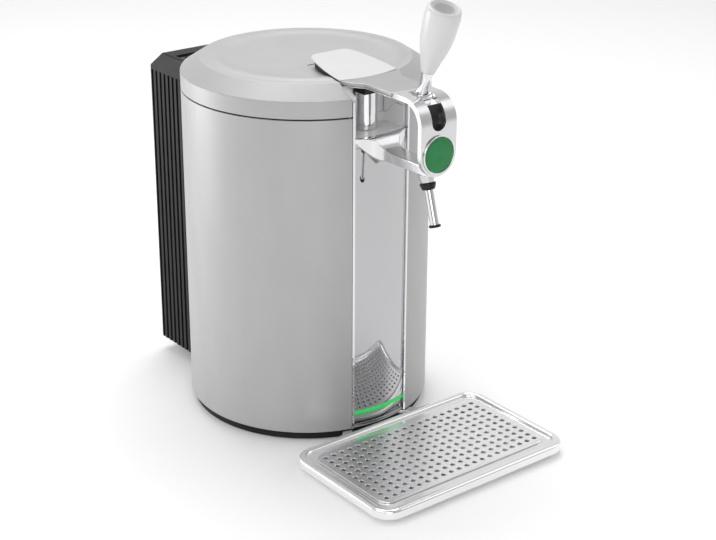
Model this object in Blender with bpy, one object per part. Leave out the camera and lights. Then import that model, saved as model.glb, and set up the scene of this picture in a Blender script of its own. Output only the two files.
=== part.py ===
"""Countertop mini keg beer dispenser, in metres with +Z up.

The body's axis is a vertical line. The tap and the drip tray are towards -Y, the cooling unit is
towards +Y. Places below are measured from the body's axis and the surface it stands on.
"""
import math

import bmesh
import bpy
from mathutils import Matrix, Vector

# Clearances
GAP = 0.0003
ROUND_GAP = 0.0005
OVERRUN = 0.01
FACETS_LARGE = 60
FACETS_MEDIUM = 28
FACETS_SMALL = 14

# Body
BODY_RADIUS = 0.130
SHELL_WALL = 0.002
SHELL_FOOT_Z = 0.010
SEAM_Z = 0.351
SEAM_GAP = 0.0016
NOTCH_HALF = 0.036
BASE_STEP = 0.006
BASE_RADIUS = BODY_RADIUS - BASE_STEP
BASE_WALL = 0.003
BASE_FLOOR = 0.004
BASE_RIM_HEIGHT = 0.014
BASE_RIM_Z = SHELL_FOOT_Z + BASE_RIM_HEIGHT
FOOT_HEIGHT = 0.004
FOOT_WIDTH = 0.012
FOOT_INSET = 0.029
FOOT_REACH = BASE_RADIUS - FOOT_INSET

# Heights of the lid and the arm over it, which follow the seam
LID_BAND_HEIGHT = 0.018
LID_SLOPE_HEIGHT = 0.013
ARM_RISE = 0.0016
LID_BAND_Z = SEAM_Z + LID_BAND_HEIGHT
LID_TOP_Z = LID_BAND_Z + LID_SLOPE_HEIGHT
ARM_TOP_Z = LID_TOP_Z + ARM_RISE

# Keg well
WELL_SPACE = 0.042
WELL_RADIUS = BODY_RADIUS - WELL_SPACE
WELL_WALL = 0.001
WELL_FLOOR_Z = 0.058
WELL_RIM = 0.004
FOAM_CLEAR = 0.004
FOAM_FLOOR_Z = BASE_RIM_Z + FOAM_CLEAR

# Pocket behind the tap column
POCKET_MARGIN = 0.007
POCKET_RADIUS = WELL_RADIUS + POCKET_MARGIN
POCKET_HALF = 0.030
POCKET_WALL = 0.0016
POCKET_FLOOR = 0.0024
POCKET_DROP = 0.023
POCKET_FLOOR_Z = SEAM_Z - POCKET_DROP
NICHE_DEG = 27
CHEEK_CLEAR = 0.0015
CHEEK_RAMP_RUN = 0.013
CHEEK_RAMP_BACK = POCKET_RADIUS + ROUND_GAP
CHEEK_RAMP_FRONT = CHEEK_RAMP_BACK + CHEEK_RAMP_RUN
CHEEK_DROP = 0.0012
PLUG_DROP = 0.013
PLUG_SEAM_Z = SEAM_Z - PLUG_DROP
DECK_MARGIN = 0.002
DECK_RADIUS = POCKET_RADIUS + DECK_MARGIN
DECK_WALL = 0.0025
DECK_THICK = 0.003
SEAL_MARGIN = 0.007
SEAL_RADIUS = DECK_RADIUS + SEAL_MARGIN
SEAL_HALF_WIDTH = 0.003

# Mirror panel on the front
TRIM_WIDTH = 0.0024
TRIM_DEPTH = 0.0032
TRIM_DROP = 0.002
TRIM_TOP_Z = LID_BAND_Z - TRIM_DROP
PANEL_STEP = 0.002
PANEL_WALL = 0.0015
PANEL_STEPS = 10
KICK_RISE = 0.004
KICK_Z = SHELL_FOOT_Z + KICK_RISE
KICK_HEIGHT = 0.0108
LED_Z = KICK_Z + KICK_HEIGHT
LED_HEIGHT = 0.0042
LED_PROUD = 0.0004
CAP_PROUD = 0.001
CAP_HEIGHT = 0.010
PANEL_TOP_Z = POCKET_FLOOR_Z - CAP_HEIGHT

# Cooling unit
COOLER_Z = 0.180
COLD_HALF_WIDTH = 0.040
COLD_INSET = 0.026
COLD_DEPTH = 0.034
COLD_BACK = BODY_RADIUS - COLD_INSET
COLD_FRONT = COLD_BACK - COLD_DEPTH
COLD_HEIGHT = 0.100
PELTIER_SIDE = 0.040
PELTIER_THICK = 0.004
SINK_HALF_WIDTH = 0.045
SINK_BASE = 0.0055
SINK_DEPTH = 0.031
SINK_HEIGHT = 0.130
SINK_FINS = 11
SINK_FIN_WALL = 0.0016
SINK_MARGIN = 0.0083
FAN_SIDE = 0.092
FAN_DEPTH = 0.020
FAN_RIM = 0.003
FAN_BORE = FAN_SIDE / 2 - FAN_RIM
FAN_BACK = 0.0025
FAN_ARM = 0.006
ROTOR_CLEAR = 0.002
ROTOR_RADIUS = FAN_BORE - ROTOR_CLEAR
ROTOR_HUB = 0.015
ROTOR_BLADES = 7
ROTOR_BLADE_WALL = 0.0025
ROTOR_TWIST_DEG = 26.0

# Housing round the cooling unit
HOUSING_HALF_WIDTH = 0.075
HOUSING_REACH = 0.058
HOUSING_LAP = 0.030
HOUSING_BACK = BODY_RADIUS + HOUSING_REACH
HOUSING_FRONT = BODY_RADIUS - HOUSING_LAP
HOUSING_FOOT_Z = 0.0135
HOUSING_HEAD = 0.010
HOUSING_TOP_Z = SEAM_Z + HOUSING_HEAD
HOUSING_SLOPE_DROP = 0.0184
HOUSING_SLOPE_RUN = 0.026
HOUSING_SLOPE_Z = HOUSING_TOP_Z - HOUSING_SLOPE_DROP
HOUSING_SLOPE_Y = HOUSING_BACK - HOUSING_SLOPE_RUN
HOUSING_WALL = 0.0025
HOUSING_SIDE_WALL = 0.005
RIB_PITCH = 0.0083
RIB_GROOVE = 0.0038
RIB_DEPTH = 0.003
RIB_DROP = 0.0046
RIB_TOP_Z = HOUSING_SLOPE_Z - RIB_DROP
RIB_COUNT = 9
LID_SWING_GAP = 0.0015
GRILLE_HALF_WIDTH = 0.050
GRILLE_HALF_HEIGHT = 0.060
GRILLE_WALL = 0.002
GRILLE_SLOTS = 11
GRILLE_SLOT = 0.0038
GRILLE_MARGIN_X = 0.0085
GRILLE_MARGIN_Z = 0.007
GRILLE_PITCH = (GRILLE_HALF_WIDTH - GRILLE_MARGIN_X) * 2 / (GRILLE_SLOTS - 1)
SOCKET_X = 0.040
SOCKET_Z = 0.045
INLET_WIDTH = 0.027
INLET_HEIGHT = 0.021
INLET_DEPTH = 0.022
INLET_MOUTH = 0.014
INLET_WALL = 0.003
PIN_RADIUS = 0.0012
SWITCH_WIDTH = 0.020
SWITCH_HEIGHT = 0.015
SWITCH_DEPTH = 0.016
SWITCH_WALL = 0.0018
SWITCH_ROOM = 0.0074
ROCKER_REACH = 0.0046
ROCKER_THICK = 0.0036
ROCKER_BACK_SHARE = 0.8
ROCKER_DIP_DEG = 8.0
BOARD_HALF_WIDTH = 0.055
BOARD_HEIGHT = 0.045
BOARD_Z = 0.072
BOARD_THICK = 0.0016
POST_LENGTH = 0.009
POST_RADIUS = 0.003
COIL_SIDE = 0.026

# Lid hinge
HINGE_SETBACK = 0.0042
HINGE_RISE = 0.0035
HINGE_Y = BODY_RADIUS + HINGE_SETBACK
HINGE_Z = SEAM_Z + HINGE_RISE
HINGE_PIN = 0.0022
HINGE_BARREL = 0.0047
HINGE_HALF_WIDTH = 0.060
HINGE_SPAN = 0.070
LEAF_TOP_SHARE = 0.98
RECESS_DEPTH = 0.0081
RECESS_BACK = HINGE_Y + RECESS_DEPTH
RECESS_DROP = 0.004
RECESS_FLOOR_Z = SEAM_Z - RECESS_DROP
BRACKET_RISE = 0.004
BRACKET_TOP_Z = HINGE_Z + BRACKET_RISE

# Lid
LID_TOP_INSET = 0.020
LID_TOP_RADIUS = BODY_RADIUS - LID_TOP_INSET
LID_CREST_INSET = 0.015
LID_CREST_RADIUS = LID_TOP_RADIUS - LID_CREST_INSET
LID_CREST = 0.0018
LID_DISH_INSET = 0.015
LID_DISH_RADIUS = LID_CREST_RADIUS - LID_DISH_INSET
LID_WALL = 0.0027
LID_SLOPE_WALL = 0.003
LID_SHADOW_GAP = 0.003
EDGE_ROUND = 0.0012
LINER_WALL = 0.002
PLUG_WALL = 0.002

# Tube flap on the lid
FLAP_FRONT = LID_TOP_RADIUS - ROUND_GAP
FLAP_LENGTH = 0.0715
FLAP_BACK = FLAP_FRONT - FLAP_LENGTH
FLAP_FRONT_HALF = NOTCH_HALF - ROUND_GAP
FLAP_BACK_HALF = 0.0235
FLAP_WALL = 0.0016
FLAP_RISE = 0.0095
FLAP_CHANNEL_MARGIN = 0.0008
FLAP_CHANNEL_DEPTH = 0.0007
FLAP_CHANNEL_Z = LID_TOP_Z - FLAP_CHANNEL_DEPTH
FLAP_AXIS_INSET = 0.005
FLAP_AXIS_Y = FLAP_BACK + FLAP_AXIS_INSET
FLAP_DROP = 0.0029
FLAP_PIN = 0.0011
FLAP_BARREL = 0.0025
FLAP_BARREL_HALF = 0.009
FLAP_NECK = 0.002
FLAP_EAR = 0.0036

# Tap column and arms
COLUMN_SETBACK = 0.005
COLUMN_Y = POCKET_RADIUS + COLUMN_SETBACK
COLUMN_RADIUS = 0.0115
COLUMN_CLEAR = 0.002
COLLAR_HALF = 0.020
COLLAR_REACH = 0.016
COLLAR_FRONT = COLUMN_Y + COLLAR_REACH
COLLAR_HEIGHT = 0.0126
COLLAR_DEG = 18
ARM_THICK = 0.005
COLUMN_TOP_Z = ARM_TOP_Z - ARM_THICK - COLLAR_HEIGHT
ARM_HALF = 0.0237
ARM_FLARE = FLAP_FRONT_HALF
ARM_FLARE_RUN = 0.027
ARM_FLARE_END = COLUMN_Y + ARM_FLARE_RUN
ARM_REACH = 0.068
ARM_END = COLUMN_Y + ARM_REACH
LOW_ARM_DROP = 0.0672
LOW_ARM_DEPTH = 0.0104
LOW_ARM_TOP_Z = ARM_TOP_Z - LOW_ARM_DROP
LOW_ARM_FOOT_Z = LOW_ARM_TOP_Z - LOW_ARM_DEPTH
LOW_ARM_HALF = 0.010
LOW_ARM_ROOT_HALF = NOTCH_HALF - TRIM_WIDTH - GAP * 2
LOW_ARM_ROOT_RISE = POCKET_FLOOR_Z - LOW_ARM_TOP_Z
LOW_ARM_ROOT_FALL = 0.007
LOW_ARM_BEND = 0.022
LOW_ARM_LIP = 0.003
LOW_ARM_EDGE = 0.0016
LOW_ARM_STEPS = 8
# How far along the bend, and how much of the root's extra width and height is left there
LOW_ARM_SHARES = ((0, 1.0, 1.0), (0.09, 0.62, 1.0), (0.18, 0.386, 0.95), (0.32, 0.19, 0.68),
                  (0.48, 0.082, 0.42), (0.73, 0.022, 0.11), (1.2, 0.0, 0.0))

# Tap head: a band that curves over and down, with a round foot
HEAD_HALF = 0.022
HEAD_WALL = 0.005
HEAD_TURN_RUN = 0.018
HEAD_TURN_Y = ARM_END + HEAD_TURN_RUN
HEAD_RADIUS = 0.0255
HEAD_EDGE = 0.0012
EAR_RADIUS = 0.0046
EAR_THICK = 0.0045
SLOT_HALF = 0.0085
SLOT_DROP = 0.031
SLOT_FOOT_Z = ARM_TOP_Z - SLOT_DROP
SLOT_SETBACK = 0.006
SLOT_BACK = ARM_END + SLOT_SETBACK
SLOT_LINER = 0.003
SLOT_LINER_LAP = 0.0016
SLOT_LINER_MARGIN = 0.0035
SLOT_LINER_HALF = SLOT_HALF + SLOT_LINER_MARGIN
SLOT_LINER_TOP_DEG = 125
BADGE_DROP = 0.0543
BADGE_Z = ARM_TOP_Z - BADGE_DROP
BADGE_MARGIN = 0.0044
BADGE_RADIUS = HEAD_HALF - BADGE_MARGIN
BADGE_THICK = 0.0015
BADGE_RIM = 0.0016

# Lever and handle
LEVER_SETBACK = 0.002
LEVER_Y = HEAD_TURN_Y - LEVER_SETBACK
LEVER_Z = ARM_TOP_Z - EAR_RADIUS
LEVER_LEAN_DEG = 18.6
LEVER_HUB = 0.007
LEVER_HUB_HALF = SLOT_HALF - ROUND_GAP
LEVER_HALF = 0.0067
LEVER_DEPTH = 0.0050
LEVER_PIN = 0.002
LEVER_NECK = 0.029
SPIGOT_RADIUS = 0.004
SPIGOT_LENGTH = 0.018
HANDLE_NECK_RADIUS = 0.0067
HANDLE_RADIUS = 0.0171
HANDLE_LENGTH = 0.0685
HANDLE_RIM = 0.0028
# How much of its full swell the handle has, and how far up
HANDLE_SHARES = ((0.0, 0.0), (0.14, 0.07), (0.62, 0.33), (0.84, 0.50), (0.96, 0.68), (1.0, 0.85))
CAP_DEPTH = 0.0095
CAP_THICK = 0.0027

# Valve and spout
SPOUT_LEAN_DEG = 16.6
SPOUT_RUN = 0.0062
SPOUT_RISE = 0.005
SPOUT_Y = HEAD_TURN_Y + SPOUT_RUN
SPOUT_Z = LOW_ARM_FOOT_Z + SPOUT_RISE
NOZZLE_LENGTH = 0.0145
NOZZLE_RADIUS = 0.0090
NOZZLE_TIP_RADIUS = 0.0066
NOZZLE_NECK = 0.004
COLLAR_LENGTH = 0.0065
COLLAR_RADIUS = 0.0080
COLLAR_TIP_RADIUS = 0.0064
TUBE_RADIUS = 0.0045
TUBE_BORE = 0.0033
TUBE_LENGTH = 0.0345
TIP_RADIUS = 0.0059
TIP_LENGTH = 0.0023
ROD_HALF = 0.003
ROD_THICK = 0.0017
ROD_CLEAR = 0.0016
ROD_LENGTH = 0.028
ROD_FOOT_Z = LOW_ARM_TOP_Z + ROD_CLEAR

# Drip tray
TRAY_HALF_WIDTH = 0.1225
TRAY_CLEAR = 0.0045
TRAY_DEPTH = 0.1535
TRAY_BACK = BODY_RADIUS + TRAY_CLEAR
TRAY_FRONT = TRAY_BACK + TRAY_DEPTH
TRAY_TOP_Z = 0.0144
TRAY_FOOT_Z = 0.003
TRAY_CORNER = 0.022
TRAY_CORNER_STEPS = 6
TRAY_EDGE = 0.0018
TRAY_RIM = 0.009
TRAY_FLOOR = 0.0018
TRAY_LEDGE = 0.012
TRAY_LEDGE_DROP = 0.0032
TRAY_LEDGE_Z = TRAY_TOP_Z - TRAY_LEDGE_DROP
DRIP_PLATE_WALL = 0.0017
DRIP_PLATE_INSET_X = 0.0145
DRIP_PLATE_INSET_Y = 0.01835
DRIP_PLATE_HALF_X = TRAY_HALF_WIDTH - DRIP_PLATE_INSET_X
DRIP_PLATE_HALF_Y = TRAY_DEPTH / 2 - DRIP_PLATE_INSET_Y
HOLE_COLUMNS = 20
HOLE_ROWS = 11
HOLE_MARGIN_X = 0.009675
HOLE_MARGIN_Y = 0.0094
HOLE_PITCH_X = (DRIP_PLATE_HALF_X - HOLE_MARGIN_X) * 2 / (HOLE_COLUMNS - 1)
HOLE_PITCH_Y = (DRIP_PLATE_HALF_Y - HOLE_MARGIN_Y) * 2 / (HOLE_ROWS - 1)
HOLE_RADIUS = 0.0026
PAD_WIDTH = 0.012
PAD_INSET_X = 0.0325
PAD_INSET_Y = 0.022
HOOK_THICK = 0.004
HOOK_CLEAR = 0.0012
HOOK_INNER_X = 0.0299
HOOK_WIDTH = 0.0122
HOOK_SPLAY = 0.0151

# The body's axis lies where the whole object's box is centred on the origin
BODY_AXIS_Y = (TRAY_FRONT - HOUSING_BACK) / 2

AXES = {"body": Vector((0, 0, 0))}
PARENTS = {}
MATERIALS = {}


# Materials

def finish(name, colour, roughness, metallic=0.0):
    """Makes one Principled material."""
    material = bpy.data.materials.new(name)
    material.use_nodes = True
    shader = material.node_tree.nodes["Principled BSDF"]
    shader.inputs["Base Color"].default_value = (*colour, 1.0)
    shader.inputs["Roughness"].default_value = roughness
    shader.inputs["Metallic"].default_value = metallic
    MATERIALS[name] = material


def make_finishes():
    finish("satin_silver", (0.55, 0.55, 0.56), 0.38, 0.7)
    finish("lid_silver", (0.60, 0.60, 0.61), 0.42, 0.5)
    finish("pearl", (0.85, 0.85, 0.84), 0.35, 0.2)
    finish("mirror", (0.80, 0.80, 0.82), 0.06, 1.0)
    finish("chrome", (0.86, 0.86, 0.87), 0.08, 1.0)
    finish("aluminium", (0.70, 0.71, 0.72), 0.4, 1.0)
    finish("steel", (0.60, 0.60, 0.60), 0.3, 1.0)
    finish("black_plastic", (0.02, 0.02, 0.022), 0.45)
    finish("dark_plastic", (0.06, 0.06, 0.065), 0.55)
    finish("grey_plastic", (0.45, 0.46, 0.47), 0.5)
    finish("rubber", (0.03, 0.03, 0.03), 0.8)
    finish("foam", (0.75, 0.74, 0.68), 0.9)
    finish("green_light", (0.02, 0.60, 0.20), 0.3)
    finish("green_enamel", (0.02, 0.30, 0.10), 0.25)
    finish("frosted", (0.82, 0.83, 0.84), 0.3)
    finish("handle_core", (0.45, 0.46, 0.47), 0.4)
    finish("ceramic", (0.9, 0.9, 0.88), 0.6)
    finish("board_green", (0.03, 0.20, 0.08), 0.5)


# Shapes, each returned as a bmesh in the body's own coordinates

def arc(y, z, radius, start_deg, end_deg, steps):
    """Points on a circle about (y, z), by angle from the first axis."""
    angles = [math.radians(start_deg + (end_deg - start_deg) * i / steps) for i in range(steps + 1)]
    return [(y + radius * math.cos(a), z + radius * math.sin(a)) for a in angles]


def circle(x, y, radius, facets):
    return arc(x, y, radius, 0, 360 * (facets - 1) / facets, facets - 1)


def prism(outline, low, high, along="Z"):
    """An outline pushed along one axis. Its points are (x, y), (x, z) along Y, or (y, z) along X."""
    mesh = bmesh.new()
    orders = {"Z": lambda a, b, t: (a, b, t), "Y": lambda a, b, t: (a, t, b), "X": lambda a, b, t: (t, a, b)}
    ends = [[mesh.verts.new(orders[along](a, b, t)) for a, b in outline] for t in (low, high)]
    count = len(outline)
    mesh.faces.new(ends[0])
    mesh.faces.new(ends[1])
    for i in range(count):
        mesh.faces.new((ends[0][i], ends[0][(i + 1) % count], ends[1][(i + 1) % count], ends[1][i]))
    return mesh


def box(x_low, x_high, y_low, y_high, z_low, z_high):
    return prism([(x_low, y_low), (x_high, y_low), (x_high, y_high), (x_low, y_high)], z_low, z_high)


def turned(profile, facets=FACETS_LARGE, x=0.0, y=0.0):
    """A closed profile of (radius, z) spun about a vertical axis at (x, y)."""
    mesh = bmesh.new()
    angles = [2 * math.pi * i / facets for i in range(facets)]
    rings = []
    for radius, z in profile:
        if radius == 0:
            rings.append([mesh.verts.new((x, y, z))])
        else:
            rings.append([mesh.verts.new((x + radius * math.cos(a), y + radius * math.sin(a), z))
                          for a in angles])
    for one, two in zip(rings, rings[1:] + rings[:1]):
        for i in range(facets):
            j = (i + 1) % facets
            if len(one) > 1 and len(two) > 1:
                mesh.faces.new((one[i], one[j], two[j], two[i]))
            elif len(one) > 1:
                mesh.faces.new((one[i], one[j], two[0]))
            elif len(two) > 1:
                mesh.faces.new((one[0], two[j], two[i]))
    return mesh


def disc(radius, z_low, z_high, facets=FACETS_LARGE, x=0.0, y=0.0):
    return turned([(0, z_low), (radius, z_low), (radius, z_high), (0, z_high)], facets, x, y)


def ring(inner, outer, z_low, z_high, facets=FACETS_LARGE, x=0.0, y=0.0):
    return turned([(inner, z_low), (outer, z_low), (outer, z_high), (inner, z_high)], facets, x, y)


def rod(radius, x_low, x_high, y, z, facets=FACETS_SMALL):
    """A round rod along X."""
    return prism(circle(y, z, radius, facets), x_low, x_high, "X")


def front_strip(x_low, x_high, inner, outer, z_low, z_high, steps=PANEL_STEPS):
    """A curved strip of the body's front wall between two x places and two radii."""
    places = [x_low + (x_high - x_low) * i / steps for i in range(steps + 1)]
    outline = [(x, -math.sqrt(outer ** 2 - x ** 2)) for x in places]
    outline += [(x, -math.sqrt(inner ** 2 - x ** 2)) for x in reversed(places)]
    return prism(outline, z_low, z_high)


def joined(*meshes):
    """Several shapes in one bmesh, where they don't touch."""
    whole = bmesh.new()
    for part in meshes:
        data = bpy.data.meshes.new("part")
        part.to_mesh(data)
        part.free()
        whole.from_mesh(data)
        bpy.data.meshes.remove(data)
    return whole


def leaned(mesh, y, z, lean_deg):
    """Puts a shape turned about the z axis onto an axis through (y, z) that leans towards the front."""
    mesh.transform(Matrix.Translation((0, y, z)) @ Matrix.Rotation(math.radians(lean_deg), 4, "X"))
    return mesh


def scalloped(radius, bite, steps=FACETS_LARGE):
    """A disc's outline with a round bite of the given radius about the tap column taken out."""
    reach = (radius ** 2 + COLUMN_Y ** 2 - bite ** 2) / (2 * COLUMN_Y)
    half = math.degrees(math.acos(reach / radius))
    bite_half = math.degrees(math.atan2(radius * math.sin(math.radians(half)), COLUMN_Y - reach))
    outer = arc(0, 0, radius, -90 + half, 270 - half, steps)
    return outer + arc(0, -COLUMN_Y, bite, 90 + bite_half, 90 - bite_half, FACETS_SMALL)[1:-1]


# Placing

def add_axis(name, parent, y, z):
    """An empty on a joint's axis, carried by the axis of the piece it is joined to."""
    AXES[name] = Vector((0, y, z))
    PARENTS[name] = bpy.data.objects.new(name + "_axis", None)
    bpy.context.collection.objects.link(PARENTS[name])
    PARENTS[name].parent = PARENTS[parent]
    PARENTS[name].location = AXES[name] - AXES[parent]


def place(name, mesh, material, axis="body", smooth=True):
    """Links a shape as an object whose origin is on the given axis."""
    bmesh.ops.recalc_face_normals(mesh, faces=mesh.faces)
    if mesh.calc_volume(signed=True) < 0:
        bmesh.ops.reverse_faces(mesh, faces=mesh.faces)
    mesh.transform(Matrix.Translation(-AXES[axis]))
    data = bpy.data.meshes.new(name)
    mesh.to_mesh(data)
    mesh.free()
    if smooth:
        data.shade_smooth()
        data.set_sharp_from_angle(angle=math.radians(30))
    if material:
        data.materials.append(MATERIALS[material])
    item = bpy.data.objects.new(name, data)
    bpy.context.collection.objects.link(item)
    item.parent = PARENTS[axis]
    return item


def combine(item, mesh, operation):
    """Adds a Boolean with a hidden shape."""
    tool = place(item.name + "_tool", mesh, None)
    tool.hide_render = True
    tool.display_type = "WIRE"
    step = item.modifiers.new(operation.title(), "BOOLEAN")
    step.operation = operation
    step.object = tool
    return tool


def cut(item, *meshes):
    for mesh in meshes:
        combine(item, mesh, "DIFFERENCE")
    return item


def fuse(item, *meshes):
    for mesh in meshes:
        combine(item, mesh, "UNION")
    return item


def bevel(item, width, segments=1):
    step = item.modifiers.new("Bevel", "BEVEL")
    step.width = width
    step.segments = segments
    step.limit_method = "ANGLE"
    step.angle_limit = math.radians(40)
    return item


# Base and body

def make_base():
    floor_z = FOOT_HEIGHT + BASE_FLOOR
    flange_z = SHELL_FOOT_Z + GAP
    wall_radius = BODY_RADIUS - SHELL_WALL - GAP
    profile = [(0, FOOT_HEIGHT), (BASE_RADIUS, FOOT_HEIGHT), (BASE_RADIUS, flange_z), (wall_radius, flange_z),
               (wall_radius, BASE_RIM_Z), (wall_radius - BASE_WALL, BASE_RIM_Z),
               (wall_radius - BASE_WALL, flange_z + BASE_WALL),
               (BASE_RADIUS - BASE_WALL, flange_z + BASE_WALL),
               (BASE_RADIUS - BASE_WALL, floor_z), (0, floor_z)]
    base = place("base_pan", turned(profile), "black_plastic")
    side = NOTCH_HALF + GAP
    cut(base, front_strip(-side, side, BASE_RADIUS + GAP, BODY_RADIUS + OVERRUN,
                          SHELL_FOOT_Z - GAP * 2, BASE_RIM_Z + OVERRUN))
    place("foot_ring", ring(FOOT_REACH - FOOT_WIDTH / 2, FOOT_REACH + FOOT_WIDTH / 2, 0, FOOT_HEIGHT - GAP,
                            FACETS_LARGE), "rubber")


def make_shell():
    top = SEAM_Z - SEAM_GAP / 2
    wall = ring(BODY_RADIUS - SHELL_WALL, BODY_RADIUS, SHELL_FOOT_Z, top)
    shell = place("outer_shell", wall, "satin_silver")
    window = SINK_HALF_WIDTH + SINK_MARGIN
    half = SINK_HEIGHT / 2 + SINK_MARGIN
    cut(shell,
        box(-NOTCH_HALF, NOTCH_HALF, -BODY_RADIUS - OVERRUN, -POCKET_RADIUS, 0, SEAM_Z + OVERRUN),
        box(-window, window, POCKET_RADIUS, BODY_RADIUS + OVERRUN, COOLER_Z - half, COOLER_Z + half))


def make_front():
    outer = BODY_RADIUS - PANEL_STEP
    inner = outer - PANEL_WALL
    edge = NOTCH_HALF - GAP
    side = edge - TRIM_WIDTH - GAP
    for name, low in (("panel_trim_left", -edge), ("panel_trim_right", edge - TRIM_WIDTH)):
        place(name, front_strip(low, low + TRIM_WIDTH, BODY_RADIUS - TRIM_DEPTH, BODY_RADIUS + GAP,
                                SHELL_FOOT_Z, TRIM_TOP_Z, 1), "chrome")
    led_top = LED_Z + LED_HEIGHT
    place("base_trim", front_strip(-side, side, inner, outer + LED_PROUD, SHELL_FOOT_Z, KICK_Z - GAP),
          "chrome")
    place("kick_panel", front_strip(-side, side, inner, outer, KICK_Z, LED_Z - GAP), "mirror")
    place("led_strip", front_strip(-side, side, inner, outer + LED_PROUD, LED_Z, led_top), "green_light")
    place("front_panel", front_strip(-side, side, inner, outer, led_top + GAP, PANEL_TOP_Z), "mirror")
    place("panel_cap", front_strip(-side, side, inner, outer + CAP_PROUD, PANEL_TOP_Z + GAP, POCKET_FLOOR_Z),
          "satin_silver")


def make_pocket():
    """The recess at the top of the front, with its own round back wall, where the tap column stands."""
    side = NOTCH_HALF - GAP
    outer = BODY_RADIUS - PANEL_STEP - PANEL_WALL - ROUND_GAP
    skirt = WELL_RADIUS + WELL_WALL + ROUND_GAP * 2
    back = POCKET_RADIUS - POCKET_WALL
    floor = POCKET_FLOOR_Z - POCKET_FLOOR
    top = SEAM_Z - GAP
    seam = PLUG_SEAM_Z - GAP
    niche = COLUMN_RADIUS + ROUND_GAP
    liner = place("pocket_liner", ring(skirt, outer, floor, top), "grey_plastic")
    combine(liner, box(-side, side, -BODY_RADIUS, -WELL_RADIUS / 2, floor - OVERRUN, top + OVERRUN),
            "INTERSECT")
    above = [(-CHEEK_RAMP_BACK, seam), (-CHEEK_RAMP_FRONT, top), (-CHEEK_RAMP_FRONT, top + OVERRUN),
             (-WELL_RADIUS / 2, top + OVERRUN), (-WELL_RADIUS / 2, seam)]
    high = top + OVERRUN
    cut(liner,
        front_strip(-POCKET_HALF, POCKET_HALF, POCKET_RADIUS, BODY_RADIUS + OVERRUN, POCKET_FLOOR_Z, high),
        prism(above, -BODY_RADIUS, BODY_RADIUS, "X"),
        disc(back, floor - OVERRUN, seam - DECK_THICK))
    niche_plan = arc(0, -COLUMN_Y, niche + POCKET_WALL, NICHE_DEG, 180 - NICHE_DEG, FACETS_SMALL)
    fuse(liner, prism(niche_plan, POCKET_FLOOR_Z + GAP, seam))
    cut(liner, disc(niche, POCKET_FLOOR_Z + GAP / 2, top, FACETS_MEDIUM, 0, -COLUMN_Y))
    make_cheeks(side)


def make_cheeks(side):
    """The pocket's side walls above the seam, which stay with the body when the lid opens."""
    low = SEAM_Z + GAP
    inner = POCKET_RADIUS + CHEEK_CLEAR
    outer = BODY_RADIUS - TRIM_DEPTH - GAP
    under_lid = LID_TOP_Z - LID_WALL - LID_SHADOW_GAP
    under_arm = ARM_TOP_Z - ARM_THICK - GAP * 2

    def at_radius(radius):
        return -math.sqrt(radius ** 2 - side ** 2)

    fall = (LID_TOP_Z - LID_BAND_Z) / (BODY_RADIUS - LID_TOP_RADIUS)
    bend = LID_TOP_RADIUS + (LID_TOP_Z - CHEEK_DROP - under_arm) / fall
    step_y = -math.sqrt((LID_TOP_RADIUS + ROUND_GAP * 2) ** 2 - POCKET_HALF ** 2)
    front_z = LID_BAND_Z - CHEEK_DROP + (BODY_RADIUS - outer) * fall
    outline = [(-CHEEK_RAMP_BACK, PLUG_SEAM_Z + GAP), (-CHEEK_RAMP_FRONT, low), (-BODY_RADIUS, low),
               (-BODY_RADIUS, front_z), (at_radius(outer), front_z), (at_radius(bend), under_arm),
               (step_y, under_arm), (step_y, under_lid),
               (-WELL_RADIUS, under_lid), (-WELL_RADIUS, PLUG_SEAM_Z + GAP)]
    for name, x in (("pocket_cheek_left", -side), ("pocket_cheek_right", POCKET_HALF)):
        cheek = place(name, prism(outline, x, x + side - POCKET_HALF, "X"), "grey_plastic")
        combine(cheek, disc(outer, PLUG_SEAM_Z, ARM_TOP_Z), "INTERSECT")
        cut(cheek, disc(inner, PLUG_SEAM_Z - OVERRUN, ARM_TOP_Z + OVERRUN))


def make_deck():
    outer = BODY_RADIUS - SHELL_WALL - GAP
    top = SEAM_Z - SEAM_GAP / 2 - GAP
    seam = PLUG_SEAM_Z - GAP
    skirt = WELL_RADIUS + WELL_WALL + ROUND_GAP * 2
    skirt_foot = POCKET_FLOOR_Z
    profile = [(outer, top), (outer, top - DECK_THICK), (DECK_RADIUS + DECK_WALL, top - DECK_THICK),
               (DECK_RADIUS + DECK_WALL, seam - DECK_THICK), (skirt + POCKET_WALL, seam - DECK_THICK),
               (skirt + POCKET_WALL, skirt_foot), (skirt, skirt_foot), (skirt, seam), (DECK_RADIUS, seam),
               (DECK_RADIUS, top)]
    side = NOTCH_HALF + GAP
    deck = place("top_deck", turned(profile), "dark_plastic")
    cut(deck, box(-side, side, -BODY_RADIUS - OVERRUN, -WELL_RADIUS / 2, skirt_foot - OVERRUN, top + OVERRUN))
    seal = place("lid_seal", ring(SEAL_RADIUS - SEAL_HALF_WIDTH, SEAL_RADIUS + SEAL_HALF_WIDTH,
                                  top + GAP, top + SEAM_GAP), "rubber")
    wide = side + TRIM_WIDTH
    cut(seal, box(-wide, wide, -BODY_RADIUS, -WELL_RADIUS / 2, top - OVERRUN, top + OVERRUN))


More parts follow.
